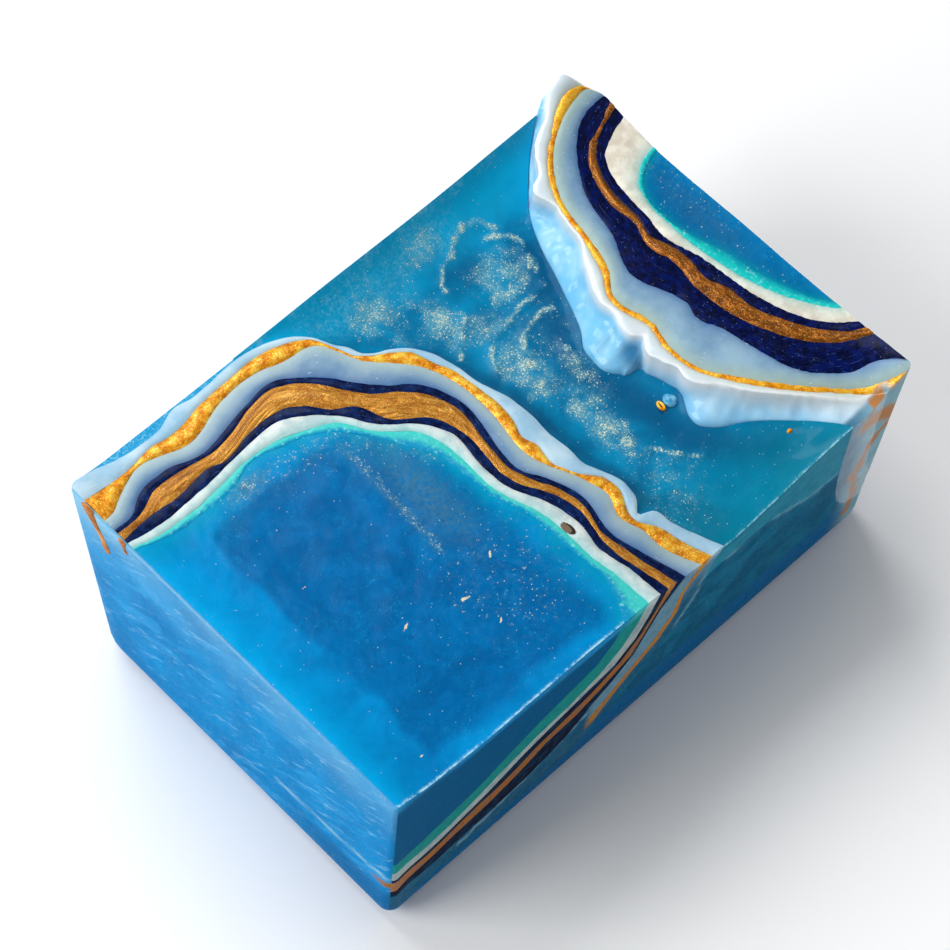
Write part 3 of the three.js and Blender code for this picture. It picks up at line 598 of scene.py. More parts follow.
def grid_solid(name, xs, ys, z_top, floor_z):
    """Closed solid between a grid of top heights and a floor height for each x."""
    nx, ny = len(xs), len(ys)
    gx, gy = np.meshgrid(xs, ys, indexing="ij")
    top = np.stack([gx, gy, z_top], -1).reshape(-1, 3)
    bottom = np.stack([gx, gy, np.repeat(floor_z[:, None], ny, 1)], -1).reshape(-1, 3)
    count = nx * ny
    faces = []
    for i in range(nx - 1):
        for j in range(ny - 1):
            a = i * ny + j
            faces.append((a, a + ny, a + ny + 1, a + 1))
            faces.append((a + count, a + count + 1, a + count + ny + 1, a + count + ny))
    for i in range(nx - 1):
        a, b = i * ny, i * ny + ny - 1
        faces.append((a, a + count, a + count + ny, a + ny))
        faces.append((b, b + ny, b + ny + count, b + count))
    for j in range(ny - 1):
        a, b = j, (nx - 1) * ny + j
        faces.append((a, a + 1, a + 1 + count, a + count))
        faces.append((b, b + count, b + count + 1, b + 1))
    return make_object(name, np.concatenate([top, bottom]), faces)


# ------------------------------------------------------------------ materials
def srgb(r, g, b):
    """0-255 display values to a scene-linear colour."""
    values = [c / 255 for c in (r, g, b)]
    linear = [c / 12.92 if c <= 0.04045 else ((c + 0.055) / 1.055) ** 2.4 for c in values]
    return (*linear, 1.0)


SOAP_IOR = 1.3
COAT_IOR = 1.35


class Look:
    """A material under construction; most methods add nodes and return an output socket."""

    def __init__(self, name, side_gloss=0.06, shine=0.3, **sockets):
        self.material = bpy.data.materials.new(name)
        self.material.use_nodes = True
        self.tree = self.material.node_tree
        self.shader = next(n for n in self.tree.nodes if n.type == "BSDF_PRINCIPLED")
        self.shader.inputs["IOR"].default_value = SOAP_IOR
        self.shader.inputs["Coat IOR"].default_value = COAT_IOR
        for socket, value in sockets.items():
            self.shader.inputs[socket.replace("_", " ")].default_value = value
        coords = self.tree.nodes.new("ShaderNodeTexCoord")
        self.mm = self.vector("SCALE", coords.outputs["Object"], scale=1000.0)
        self.gloss = self.slope_share(side_gloss)
        self.feed(self.shader.inputs["Specular IOR Level"], self.times(self.gloss, shine))
        coat = self.shader.inputs["Coat Weight"].default_value
        if coat:
            self.feed(self.shader.inputs["Coat Weight"], self.times(self.gloss, coat))

    def slope_share(self, low):
        """1 on level surfaces, falling to the given share on upright cut faces."""
        split = self.put("ShaderNodeSeparateXYZ")
        self.feed(split.inputs[0], self.put("ShaderNodeNewGeometry").outputs["True Normal"])
        return self.span(split.outputs[2], 0.15, 0.6, low, 1.0)

    def put(self, kind, **settings):
        """Adds a node."""
        node = self.tree.nodes.new(kind)
        for key, value in settings.items():
            setattr(node, key, value)
        return node

    def feed(self, socket, value):
        """Links an output to a socket, or sets the socket to a plain value."""
        if isinstance(value, bpy.types.NodeSocket):
            self.tree.links.new(value, socket)
        elif value is not None:
            socket.default_value = value

    def vector(self, operation, a, b=None, scale=None):
        node = self.put("ShaderNodeVectorMath", operation=operation)
        self.feed(node.inputs[0], a)
        self.feed(node.inputs[1], b)
        if scale is not None:
            node.inputs["Scale"].default_value = scale
        return node.outputs[0]

    def oval(self, x, y, turn, half_length, half_width, ragged=0.0):
        """1 inside a small oval lying on the surface, sizes in mm."""
        middle = (ORIGIN.x * 1000 + x, ORIGIN.y * 1000 + y, 0.0)
        turned = self.put("ShaderNodeVectorRotate", rotation_type="Z_AXIS")
        self.feed(turned.inputs["Vector"], self.vector("SUBTRACT", self.mm, middle))
        turned.inputs["Angle"].default_value = math.radians(-turn)
        flat = self.vector("MULTIPLY", turned.outputs[0], (1 / half_length, 1 / half_width, 0.0))
        size = self.put("ShaderNodeVectorMath", operation="LENGTH")
        self.feed(size.inputs[0], flat)
        wave = self.times(self.math("SUBTRACT", self.noise(0.35, 3.0, 0.7), 0.5), ragged)
        return self.span(self.math("ADD", size.outputs["Value"], wave), 1.15, 0.85)

    def worn_and_highlit_edge(self, colour, light):
        """Thin broken bright line where the top meets the two near cut faces: worn crumbs and a painted
        highlight.
        """
        split = self.put("ShaderNodeSeparateXYZ")
        self.feed(split.inputs[0], self.mm)
        breaks = self.span(self.noise(0.9, 4.0, 0.7), 0.36, 0.6)
        crumbs, _ = self.specks(0.2, 0.5, self.times(breaks, 0.6))
        for axis, start in ((0, ORIGIN.x * 1000), (1, ORIGIN.y * 1000)):
            near = self.span(split.outputs[axis], start + 0.7, start + 0.1)
            line = self.span(split.outputs[axis], start + 0.5, start + 0.12)
            line = self.math("MAXIMUM", self.times(line, breaks),
                             self.times(self.times(near, crumbs), 0.7))
            colour = self.over(colour, light, self.times(line, self.gloss), 0.9)
        return colour

    def attribute(self, name):
        return self.put("ShaderNodeAttribute", attribute_name=name).outputs["Fac"]

    def band(self, along, across):
        """Coordinates that follow a pour: stretched along it, tight across it."""
        node = self.put("ShaderNodeCombineXYZ")
        self.feed(node.inputs[0], self.math("DIVIDE", self.attribute("along"), along))
        self.feed(node.inputs[1], self.math("DIVIDE", self.attribute("across"), across))
        split = self.put("ShaderNodeSeparateXYZ")
        self.feed(split.inputs[0], self.mm)
        self.feed(node.inputs[2], self.math("DIVIDE", split.outputs[2], along))
        return node.outputs[0]

    def noise(self, size, detail=3.0, rough=0.55, twist=0.0, at=None):
        node = self.put("ShaderNodeTexNoise")
        self.feed(node.inputs["Vector"], self.mm if at is None else at)
        node.inputs["Scale"].default_value = 1 / size
        node.inputs["Detail"].default_value = detail
        node.inputs["Roughness"].default_value = rough
        node.inputs["Distortion"].default_value = twist
        return node.outputs["Fac"]

    def cells(self, size, feature="F1", at=None):
        node = self.put("ShaderNodeTexVoronoi", feature=feature)
        self.feed(node.inputs["Vector"], self.mm if at is None else at)
        node.inputs["Scale"].default_value = 1 / size
        return node

    def math(self, operation, a, b=None, clamp=False):
        node = self.put("ShaderNodeMath", operation=operation, use_clamp=clamp)
        self.feed(node.inputs[0], a)
        self.feed(node.inputs[1], b)
        return node.outputs[0]

    def times(self, a, b, clamp=False):
        return self.math("MULTIPLY", a, b, clamp)

    def span(self, value, low, high, to_low=0.0, to_high=1.0):
        """Eases a value from one range to another."""
        node = self.put("ShaderNodeMapRange", interpolation_type="SMOOTHSTEP")
        for socket, number in zip(node.inputs, (value, low, high, to_low, to_high)):
            self.feed(socket, number)
        return node.outputs[0]

    def ramp(self, value, *stops):
        node = self.put("ShaderNodeValToRGB")
        self.feed(node.inputs[0], value)
        elements = node.color_ramp.elements
        while len(elements) < len(stops):
            elements.new(0.5)
        for element, (position, colour) in zip(elements, stops):
            element.position = position
            element.color = colour
        return node.outputs[0]

    def mix(self, share, a, b, mode="MIX"):
        node = self.put("ShaderNodeMix", data_type="RGBA", blend_type=mode)
        self.feed(node.inputs[0], share)
        self.feed(node.inputs[6], a)
        self.feed(node.inputs[7], b)
        return node.outputs[2]

    def over(self, colour, paint, share, strength=None):
        """The colour with some paint on top of it."""
        if strength is not None:
            share = self.times(share, strength)
        return self.mix(share, colour, paint)

    def specks(self, size, share, density, at=None):
        """Mica flakes: cells whose random number is under the density, with round-ish spots."""
        node = self.cells(size, at=at)
        split = self.put("ShaderNodeSeparateColor")
        self.feed(split.inputs[0], node.outputs["Color"])
        chosen = self.math("LESS_THAN", split.outputs[0], density)
        spot = self.span(node.outputs["Distance"], share, share * 0.55)
        return self.times(chosen, spot), split.outputs[1]

    def finish(self, colour=None, roughness=None, metal=None, bumps=(), side=False, cut=None):
        """Joins everything to the shader and returns the material."""
        # Painted shade: the cut colour is a second, mostly darker copy of the pour's colour for the long
        # near cut face, which faces away from the key light; it mixes that face's shade with the pour's
        # own colour.
        if cut:
            faded = self.mix(self.span(self.noise(1.6, 4.0), 0.4, 0.7, 0.0, 0.35), cut, DEEP_TEAL)
            colour = self.over(colour, faded, self.attribute("cut"))
        if side:
            grey = self.mix(self.attribute("grey"), DEEP_TEAL, GREY_BLUE)
            cloud = self.span(self.noise(2.4, 4.0), 0.35, 0.7)
            grey = self.over(grey, srgb(70, 130, 160), cloud, 0.35)
            veil = self.attribute("veil")
            colour = self.over(colour, grey, veil)
            colour = self.over(colour, VEIN_BROWN, self.attribute("vein"))
            colour = self.over(colour, srgb(150, 196, 214), self.attribute("streak"))
            if metal is not None:
                metal = self.times(metal, self.math("SUBTRACT", 1.0, veil), clamp=True)
        self.feed(self.shader.inputs["Base Color"], colour)
        self.feed(self.shader.inputs["Roughness"], roughness)
        self.feed(self.shader.inputs["Metallic"], metal)
        normal = None
        for value, depth_mm in bumps:
            bump = self.put("ShaderNodeBump")
            bump.inputs["Distance"].default_value = depth_mm / 1000
            self.feed(bump.inputs["Strength"], self.gloss)
            self.feed(bump.inputs["Height"], value)
            if normal is not None:
                self.feed(bump.inputs["Normal"], normal)
            normal = bump.outputs[0]
        self.feed(self.shader.inputs["Normal"], normal)
        return self.material


WHITE_MICA = srgb(255, 248, 222)
GOLD_MICA = srgb(226, 190, 112)
DEEP_TEAL = srgb(10, 92, 128)
GREY_BLUE = srgb(142, 186, 200)
VEIN_BROWN = srgb(188, 128, 74)


def scratches(look, along=3.5, across=0.09, low=0.66, high=0.74):
    """Fine lines that run along a pour."""
    return look.span(look.noise(1.0, 2.0, 0.5, at=look.band(along, across)), low, high)


def pale_look(name, deep, light, tint, soft=0.1):
    """Pale blue soap, nicked and scratched along the pour."""
    look = Look(name, Subsurface_Weight=soft, Subsurface_Scale=0.0012, Coat_Weight=0.15,
                Coat_Roughness=0.08)
    look.shader.inputs["Subsurface Radius"].default_value = (0.5, 0.8, 1.0)
    colour = look.mix(look.span(look.noise(5.0, 3.0), 0.3, 0.7), deep, light)
    colour = look.over(colour, srgb(54, 96, 158), look.attribute("blue"), 0.7)
    colour = look.over(colour, tint, look.attribute("tint"), 0.85)
    line = scratches(look, 3.2, 0.07, 0.68, 0.73)
    nick, _ = look.specks(0.8, 0.2, 0.12, at=look.band(1.4, 0.5))
    mark = look.math("MAXIMUM", look.times(line, 0.6), nick)
    colour = look.over(colour, srgb(228, 240, 250), mark, 0.6)
    rough = look.span(look.noise(0.8, 3.0), 0.3, 0.7, 0.18, 0.4)
    return look.finish(colour, rough, bumps=((look.noise(0.9, 4.0), 0.04), (mark, 0.03)), side=True,
                       cut=srgb(112, 156, 178))


def lip_look(name):
    """The rear shell: whitish band inside the crest, a painted highlight on the crest, wet sky-blue wall
    outside it with painted light and shade.
    """
    look = Look(name, side_gloss=0.6, Subsurface_Weight=0.2, Subsurface_Scale=0.0016,
                Coat_Weight=0.6, Coat_Roughness=0.05)
    look.shader.inputs["Subsurface Radius"].default_value = (0.4, 0.8, 1.0)
    wall_colour = look.mix(look.span(look.noise(4.0, 2.0), 0.35, 0.65), srgb(122, 194, 232),
                           srgb(160, 214, 242))
    wall_colour = look.over(wall_colour, srgb(72, 168, 220), look.attribute("low"))
    # Painted light on the near part of the wall.
    wall_colour = look.over(wall_colour, srgb(206, 228, 242), look.attribute("painted_light_near_wall"))
    # Painted shade in the hollow beside the big drip.
    wall_colour = look.over(wall_colour, srgb(4, 112, 164), look.attribute("painted_shade_hollow"))
    band_colour = look.mix(look.attribute("tint"), srgb(214, 226, 232), srgb(200, 208, 184))
    colour = look.mix(look.attribute("band"), wall_colour, band_colour)
    # Painted highlight along the crest.
    colour = look.over(colour, srgb(246, 250, 250), look.attribute("ridge"))
    rough = look.span(look.noise(1.4, 2.0), 0.3, 0.7, 0.06, 0.2)
    runs = look.noise(1.0, 2.0, 0.5, 0.4, at=look.band(1.9, 7.0))
    runs = look.times(runs, look.math("SUBTRACT", 1.0, look.attribute("band")))
    return look.finish(colour, rough, bumps=((look.noise(1.8, 2.0), 0.05), (runs, 0.12)), side=True)


def gold_look(name, dark, mid, bright):
    """Grainy gold mica."""
    look = Look(name, Coat_Weight=0.25, Coat_Roughness=0.15)
    fine = look.noise(0.2, 3.0, 0.7)
    patch = look.noise(1.5, 4.0, 0.6)
    value = look.math("ADD", look.times(fine, 0.45), look.times(patch, 0.55))
    colour = look.ramp(value, (0.4, dark), (0.48, mid), (0.58, bright))
    spark, hue = look.specks(0.24, 0.45, 0.25)
    colour = look.over(colour, srgb(255, 236, 150), look.times(spark, hue))
    rough = look.span(fine, 0.3, 0.7, 0.4, 0.2)
    return look.finish(colour, rough, look.span(fine, 0.2, 0.8, 0.1, 0.3),
                       bumps=((fine, 0.03), (patch, 0.35)), side=True, cut=srgb(206, 136, 20))


def bronze_look(name, dark, mid, bright, strands=0.4):
    """Bronze mica, folded and stranded along the pour."""
    look = Look(name, Coat_Weight=0.2, Coat_Roughness=0.14)
    strand = look.noise(1.0, 4.0, 0.6, at=look.band(2.6, 0.42))
    fold = look.noise(1.0, 3.0, 0.6, 1.0, at=look.band(3.2, 1.1))
    fine = look.noise(0.16, 3.0, 0.7)
    blend = look.math("ADD", look.times(strand, strands), look.times(fold, 1.0 - strands))
    value = look.math("ADD", look.times(blend, 0.62), look.times(fine, 0.38))
    colour = look.ramp(value, (0.4, dark), (0.5, mid), (0.6, bright))
    spark, hue = look.specks(0.16, 0.45, 0.25)
    colour = look.over(colour, srgb(252, 216, 140), look.times(spark, look.times(hue, 0.8)))
    return look.finish(colour, look.span(fold, 0.3, 0.7, 0.42, 0.24),
                       look.span(fold, 0.3, 0.7, 0.15, 0.4),
                       bumps=((fold, 0.35), (strand, 0.06), (fine, 0.02)), cut=srgb(176, 106, 22))


def navy_look(name, deep, light, line_colour):
    """Dark navy soap with thin lighter lines."""
    look = Look(name, shine=0.16, Coat_Weight=0.08, Coat_Roughness=0.06)
    colour = look.mix(look.span(look.noise(1.2, 4.0, 0.6), 0.38, 0.66), deep, light)
    line = scratches(look, 1.6, 0.13, 0.62, 0.7)
    colour = look.over(colour, line_colour, line, 0.4)
    spark, _ = look.specks(0.26, 0.3, 0.04)
    colour = look.over(colour, srgb(120, 146, 200), spark, 0.6)
    return look.finish(colour, look.span(look.noise(0.7, 3.0), 0.3, 0.7, 0.16, 0.36),
                       bumps=((line, 0.03), (look.noise(0.5, 3.0), 0.03)), cut=srgb(6, 14, 46))


PIT = (42.5, 13.8)      # x and y of the pit in the front white pour


def white_look(name, deep, light):
    """Opaque white soap with one small pit."""
    look = Look(name, Subsurface_Weight=0.12, Subsurface_Scale=0.001, Coat_Weight=0.12,
                Coat_Roughness=0.12)
    look.shader.inputs["Subsurface Radius"].default_value = (0.8, 0.8, 0.8)
    colour = look.mix(look.span(look.noise(1.8, 3.0), 0.35, 0.65), deep, light)
    line = scratches(look, 2.2, 0.1)
    colour = look.over(colour, srgb(255, 255, 255), line, 0.3)
    colour = look.over(colour, srgb(120, 206, 206), look.attribute("blue"), 0.6)
    # The pit is painted only: brownish-grey painted shade in its hollow, and a darker painted shadow
    # crescent on its near side.
    pit = look.oval(PIT[0], PIT[1], 102, 1.1, 0.55, 0.4)
    pit_lit_floor = look.oval(PIT[0] - 0.2, PIT[1] + 0.3, 102, 0.95, 0.46)
    colour = look.over(colour, srgb(120, 104, 84), pit)
    colour = look.over(colour, srgb(40, 30, 22), look.times(pit, look.math("SUBTRACT", 1.0, pit_lit_floor)))
    return look.finish(colour, look.span(look.noise(0.6, 3.0), 0.3, 0.7, 0.25, 0.45),
                       bumps=((look.noise(0.7, 4.0), 0.04), (line, 0.02)), cut=srgb(176, 192, 190))


def teal_look(name, core, light):
    """Teal rim that starts in the core's colour."""
    look = Look(name, Coat_Weight=0.1, Coat_Roughness=0.12)
    share = look.math("ADD", look.attribute("share"),
                      look.times(look.math("SUBTRACT", look.noise(0.9, 3.0), 0.5), 0.9))
    colour = look.mix(look.span(share, 0.05, 0.75), core, light)
    colour = look.over(colour, srgb(140, 228, 220), look.span(look.noise(0.5, 3.0), 0.55, 0.8))
    return look.finish(colour, look.span(look.noise(0.7, 3.0), 0.3, 0.7, 0.22, 0.42),
                       bumps=((look.noise(0.8, 4.0), 0.04),), cut=srgb(14, 150, 142))


# Single flecks in the front core: x, y, turn and half length.
FLECKS = ((18.1, 17.3, 25, 0.5), (26, 15.2, -10, 0.55), (7.8, 3.6, 0, 0.22), (27.4, 10.2, 35, 0.3),
          (12.6, 29.4, 0, 0.22), (32.6, 17.6, 50, 0.36))


def core_look(name, dark, light, edge):
    """Deep blue soap, with flecks in the front one."""
    look = Look(name, shine=0.1, Coat_Weight=0.04, Coat_Roughness=0.1)
    colour = look.mix(look.span(look.noise(7.0, 4.0, 0.55, 0.6), 0.3, 0.7), dark, light)
    deep = look.mix(look.span(look.noise(4.5, 6.0, 0.7, 0.8), 0.36, 0.66), srgb(0, 86, 146),
                    srgb(0, 104, 168))
    colour = look.over(colour, deep, look.attribute("zone"), 0.92)
    veins = look.span(look.noise(1.5, 7.0, 0.8, 1.6), 0.54, 0.68)
    colour = look.over(colour, srgb(0, 146, 206), veins, 0.4)
    wisps = look.times(look.span(look.noise(6.0, 2.0), 0.56, 0.72),
                       look.span(look.noise(0.5, 5.0, 0.8, 1.5), 0.54, 0.66))
    colour = look.over(colour, srgb(44, 178, 214), wisps, 0.7)
    # Painted glow of light through the soap near the cut faces.
    colour = look.over(colour, srgb(0, 170, 232), look.attribute("glow"))
    colour = look.over(colour, edge, look.attribute("rim"))
    colour = look.over(colour, srgb(66, 116, 142),
                       look.times(look.attribute("haze"),
                                  look.span(look.noise(0.6, 5.0, 0.75), 0.3, 0.66)))
    clumps = look.span(look.noise(0.9, 5.0, 0.8), 0.46, 0.62)
    dusty = look.times(look.attribute("mica"), clumps)
    colour = look.over(colour, srgb(110, 156, 168), look.times(dusty, 0.25, clamp=True))
    dots, hue = look.specks(0.19, 0.5, look.times(dusty, 0.5))
    colour = look.over(colour, look.mix(hue, srgb(70, 164, 200), srgb(240, 226, 196)), dots)
    fine, hue2 = look.specks(0.3, 0.3, 0.03)
    colour = look.over(colour, srgb(70, 180, 225), look.times(fine, look.times(hue2, 0.45)))
    for x, y, turn, length in FLECKS if "front" in name else ():
        flake = look.oval(x, y, turn, length, 0.35 * length, 5.0)
        colour = look.over(colour, srgb(226, 214, 176), flake)
    # Painted highlight and worn crumbs along the near top edges.
    colour = look.worn_and_highlit_edge(colour, srgb(186, 232, 248))
    return look.finish(colour, look.span(look.noise(1.1, 4.0), 0.3, 0.7, 0.16, 0.36),
                       bumps=((look.noise(1.4, 4.0), 0.05), (look.noise(0.35, 2.0), 0.012)),
                       cut=srgb(0, 92, 142))


def gel_look():
    """Clear gel with films, curls and flakes of mica."""
    look = Look("gel_look", shine=0.12, Coat_Weight=0.2, Coat_Roughness=0.03)
    colour = look.mix(look.span(look.noise(7.0, 4.0, 0.6, 0.9), 0.32, 0.68), srgb(0, 108, 152),
                      srgb(0, 136, 182))
    # Painted shade by the rear lip and the front geode.
    colour = look.over(colour, srgb(0, 78, 122), look.attribute("deep"))
    colour = look.over(colour, srgb(0, 122, 146), look.attribute("green"))
    colour = look.over(colour, srgb(0, 166, 212), look.attribute("bright"))
    # Whitish scuffs with painted glints on the rims, and painted sheen near the far rim.
    scuff_and_glint = look.span(look.noise(0.7, 5.0, 0.8, 1.0), 0.44, 0.74)
    colour = look.over(colour, srgb(160, 216, 226), look.times(look.attribute("haze"), scuff_and_glint), 0.85)
    curl = look.noise(1.5, 6.0, 0.78, 2.2)
    ragged = look.math("ADD", look.attribute("mica"),
                       look.times(look.math("SUBTRACT", curl, 0.5), 1.3))
    mica = look.times(look.span(ragged, 0.1, 1.05, 0.0, 1.1),
                      look.span(look.attribute("mica"), 0.0, 0.5))
    film = look.times(mica, look.span(look.noise(0.3, 3.0, 0.8), 0.3, 0.62, 0.25, 1.0))
    colour = look.over(colour, srgb(118, 176, 180), look.times(film, 0.72, clamp=True))
    colour = look.over(colour, srgb(232, 232, 206), look.span(film, 0.75, 1.2, 0.0, 0.7))
    small, hue = look.specks(0.16, 0.5, look.times(mica, 0.85))
    bright = look.math("POWER", mica, 1.6)
    large, hue2 = look.specks(0.26, 0.5, look.times(bright, 0.5))
    flake = look.math("MAXIMUM", look.times(small, hue),
                      look.times(large, look.span(hue2, 0.0, 0.6)))
    fleck = look.mix(hue, srgb(150, 204, 190), WHITE_MICA)
    fleck = look.over(fleck, GOLD_MICA, hue2, 0.25)
    colour = look.over(colour, fleck, flake)
    stray, hue3 = look.specks(0.3, 0.28, 0.05)
    colour = look.over(colour, srgb(160, 205, 196), look.times(stray, hue3))
    # Painted highlight and worn crumbs along the near top edges.
    colour = look.worn_and_highlit_edge(colour, srgb(160, 222, 236))
    return look.finish(colour, look.span(look.noise(2.0, 3.0), 0.3, 0.7, 0.08, 0.22), None,
                       bumps=((look.noise(2.2, 4.0), 0.05), (curl, 0.05),
                              (look.attribute("ripple"), 0.14), (flake, 0.02)), side=True,
                       cut=srgb(44, 146, 174))


def base_look():
    """Sky-blue soap, streaked on its faces."""
    look = Look("base_look", Subsurface_Weight=0.05, Subsurface_Scale=0.0015)
    look.shader.inputs["Subsurface Radius"].default_value = (0.2, 0.7, 1.0)
    turned = look.put("ShaderNodeVectorRotate", rotation_type="EULER_XYZ")
    look.feed(turned.inputs["Vector"], look.mm)
    turned.inputs["Rotation"].default_value = (math.radians(38), 0.3, 0.2)
    stretch = look.vector("MULTIPLY", turned.outputs[0], (0.2, 0.06, 0.26))
    streak = look.noise(1.0, 6.0, 0.62, 0.7, at=stretch)
    colour = look.mix(look.span(look.noise(9.0, 4.0), 0.3, 0.7), srgb(0, 122, 186),
                      srgb(0, 140, 204))
    colour = look.over(colour, srgb(48, 164, 226), look.span(streak, 0.5, 0.62), 0.4)
    thin = look.noise(1.0, 5.0, 0.7, 0.5, at=look.vector("MULTIPLY", stretch, (4.0, 1.8, 4.0)))
    colour = look.over(colour, srgb(150, 204, 240), look.span(thin, 0.56, 0.66), 0.42)
    # Painted light on the short near face.
    colour = look.over(colour, srgb(150, 206, 232), look.attribute("painted_light_short_face"))
    # Painted shade on the long near face: a darker, streaked copy of the base colour.
    teal = look.mix(look.span(streak, 0.4, 0.65), srgb(2, 92, 128), srgb(16, 116, 152))
    colour = look.over(colour, teal, look.attribute("shaded_teal_side"))
    colour = look.over(colour, srgb(2, 102, 160), look.attribute("foot_blue"))
    colour = look.over(colour, srgb(158, 104, 40), look.attribute("wedge"))
    # Far rim: bright cyan with whitish scuffs and painted glints.
    scuff_and_glint = look.mix(look.span(look.noise(0.7, 5.0, 0.8, 1.0), 0.48, 0.72), srgb(0, 150, 204),
                     srgb(140, 212, 230))
    colour = look.over(colour, scuff_and_glint, look.attribute("rim"))
    dots, hue = look.specks(0.4, 0.32, 0.14)
    colour = look.over(colour, srgb(180, 216, 236), look.times(dots, look.times(hue, 0.4)))
    return look.finish(colour, look.span(look.noise(1.2, 5.0, 0.65), 0.3, 0.7, 0.22, 0.5),
                       bumps=((look.noise(3.0, 4.0), 0.1), (look.noise(0.6, 4.0), 0.03)), side=True)


# ------------------------------------------------------------------ where colours change
def near_line(x, y, points, width):
    """1 on a polyline, fading to 0 a few widths away."""
    best = np.full(len(x), 1e9)
    for (x0, y0), (x1, y1) in zip(points, points[1:]):
        dx, dy = x1 - x0, y1 - y0
        t = np.clip(((x - x0) * dx + (y - y0) * dy) / (dx * dx + dy * dy), 0, 1)
        best = np.minimum(best, np.hypot(x - x0 - t * dx, y - y0 - t * dy))
    return np.exp(-((best / width) ** 2))


def spot(x, y, cx, cy, rx, ry, turn=0.0):
    """1 in the middle of an oval patch, fading to 0 past its radii."""
    a = math.radians(turn)
    u = (x - cx) * math.cos(a) + (y - cy) * math.sin(a)
    v = -(x - cx) * math.sin(a) + (y - cy) * math.cos(a)
    return np.exp(-((u / rx) ** 2 + (v / ry) ** 2) ** 1.4)


# Mica in the gel: streaks as (points, half width, strength), and patches as (x, y, two radii,
# turn, strength).
SWIRLS = (
    (((60, 53), (62, 54.4), (64, 55), (66, 54.2), (67.5, 52)), 0.5, 1.1),
    (((56, 49.5), (56.2, 50.6), (58, 52.2), (60, 53.3)), 0.35, 1.0),
    (((65.2, 51.8), (66.8, 51.1), (68.1, 49.9), (68.3, 48.4), (67.7, 47), (66.7, 45.3)), 0.32, 1.6),
    (((50.4, 41.2), (52.6, 43.4), (55, 45.3)), 0.35, 1.3),
    (((52.7, 37), (53.8, 39.1), (55.8, 40.8), (59.2, 41.4), (62.5, 41.8), (66.3, 42)), 0.32, 1.2),
    (((55, 33.7), (56.7, 36.2), (58.8, 38.3), (60.8, 39.3), (63.3, 39.5), (64.6, 38.9)), 0.36, 1.3),
    (((56.7, 36.2), (55.8, 32.8), (55.4, 30.3)), 0.8, 1.4),
    (((61.7, 33.3), (61.4, 31.2)), 0.45, 1.6),
    (((57.4, 22.4), (57.6, 20.4), (58, 18.4)), 0.8, 1.4),
    (((58.8, 16.6), (60.4, 14.9), (61.7, 12.8), (62.9, 11.6), (64.2, 10.5)), 0.22, 1.5),
    (((67.5, 46), (67.8, 45.2), (65.9, 41.9)), 0.4, 1.0),
)
PATCHES = (
    (57, 56, 4.2, 2.6, 0, 0.75), (46.3, 52.9, 4, 4, 0, 0.75), (63, 47, 5.2, 4.4, 0, 0.7),
    (62.5, 44.6, 4.2, 1.8, 0, 0.9), (52.5, 46, 3.4, 5.4, 0, 0.8), (55.4, 42.8, 4, 3, 0, 0.75),
    (55.5, 34.4, 3.6, 6.5, 0, 0.8), (60.6, 30, 2.2, 7, 0, 0.6), (57.5, 23.3, 3, 9, 0, 0.8),
    (57, 10, 7, 9, 0, 0.42), (49, 50, 6, 9, 0, 0.45), (61, 36, 8, 18, 0, 0.34),
)


def gel_zones(obj):
    """Mica, painted shade, painted sheen and edge tones of the gel."""
    x, y, z = plan_of(obj).T
    dense = np.full(len(x), 0.03)
    for cx, cy, rx, ry, turn, share in PATCHES:
        dense = np.maximum(dense, share * spot(x, y, cx, cy, rx, ry, turn))
    dense = dense * np.clip(0.75 + 0.6 * grain(x, y, 0, 1.6, 61), 0.1, 1.4)
    patchy = np.clip(0.62 + 0.9 * grain(x, y, 0, 1.3, 62), 0.1, 1.1)
    bent_x = x + 0.35 * grain(x, y, 5, 1.6, 63)
    bent_y = y + 0.35 * grain(x, y, 9, 1.6, 64)
    for points, width, share in SWIRLS:
        dense = np.maximum(dense, share * patchy * near_line(bent_x, bent_y, points, 1.25 * width))
    store(obj, "mica", np.where(z < -8.5, 0.02, np.clip(dense, 0, 1.5)))
    ripple = np.zeros(len(x))
    for points, width, share in SWIRLS:
        ripple = np.maximum(ripple, near_line(bent_x, bent_y, points, 2.2 * width))
    store(obj, "ripple", ripple)
    # Painted shade: darker gel in the trough at the foot of the rear lip, along the edge of the front
    # geode and in one short stretch near the far side.
    trough = ((69, 46), (63.5, 37), (60.5, 31), (63, 23), (63.5, 14), (71, 5))
    deep = 0.85 * near_line(x, y, trough, 3.0)
    deep = np.maximum(deep, 0.6 * near_line(x, y, ((48, 44), (51.5, 34), (52, 22), (54, 10)), 1.3))
    deep = np.maximum(deep, 0.5 * near_line(x, y, ((57, 50), (60, 49.5)), 2.0))
    store(obj, "deep", deep)
    side = np.clip((0.5 - y) / 0.4, 0, 1) * np.clip((-4.4 - z) / 1.5, 0, 1)
    store(obj, "green", np.maximum(np.clip(1 - y / 14, 0, 1) * 0.8, side))
    rim = np.clip((y - 51) / 5, 0, 1) * (0.8 + 0.3 * grain(x, y, 0, 5.0, 8))
    store(obj, "bright", np.clip(rim, 0, 1) * 0.95)
    # Whitish marks along the far rim and the near edge, partly scuffs and partly painted glints, and
    # painted sheen in two patches near the far rim.
    edge = np.exp(-(((y - 58.7) / 0.5) ** 2)) * (0.5 + 0.9 * grain(x, y, 0, 2.2, 9))
    haze = np.maximum(edge, 0.55 * spot(x, y, 45, 56, 7, 3) + 0.5 * spot(x, y, 58, 56.5, 5, 2.2))
    lip = np.exp(-((np.maximum(y, 0) / 0.5) ** 2)) * (0.4 + 0.9 * grain(x, y, 0, 2.0, 10)) * (z > -8)
    store(obj, "haze", np.clip(np.maximum(haze, lip * 0.7), 0, 1))
    side_paint(obj, 0.0)


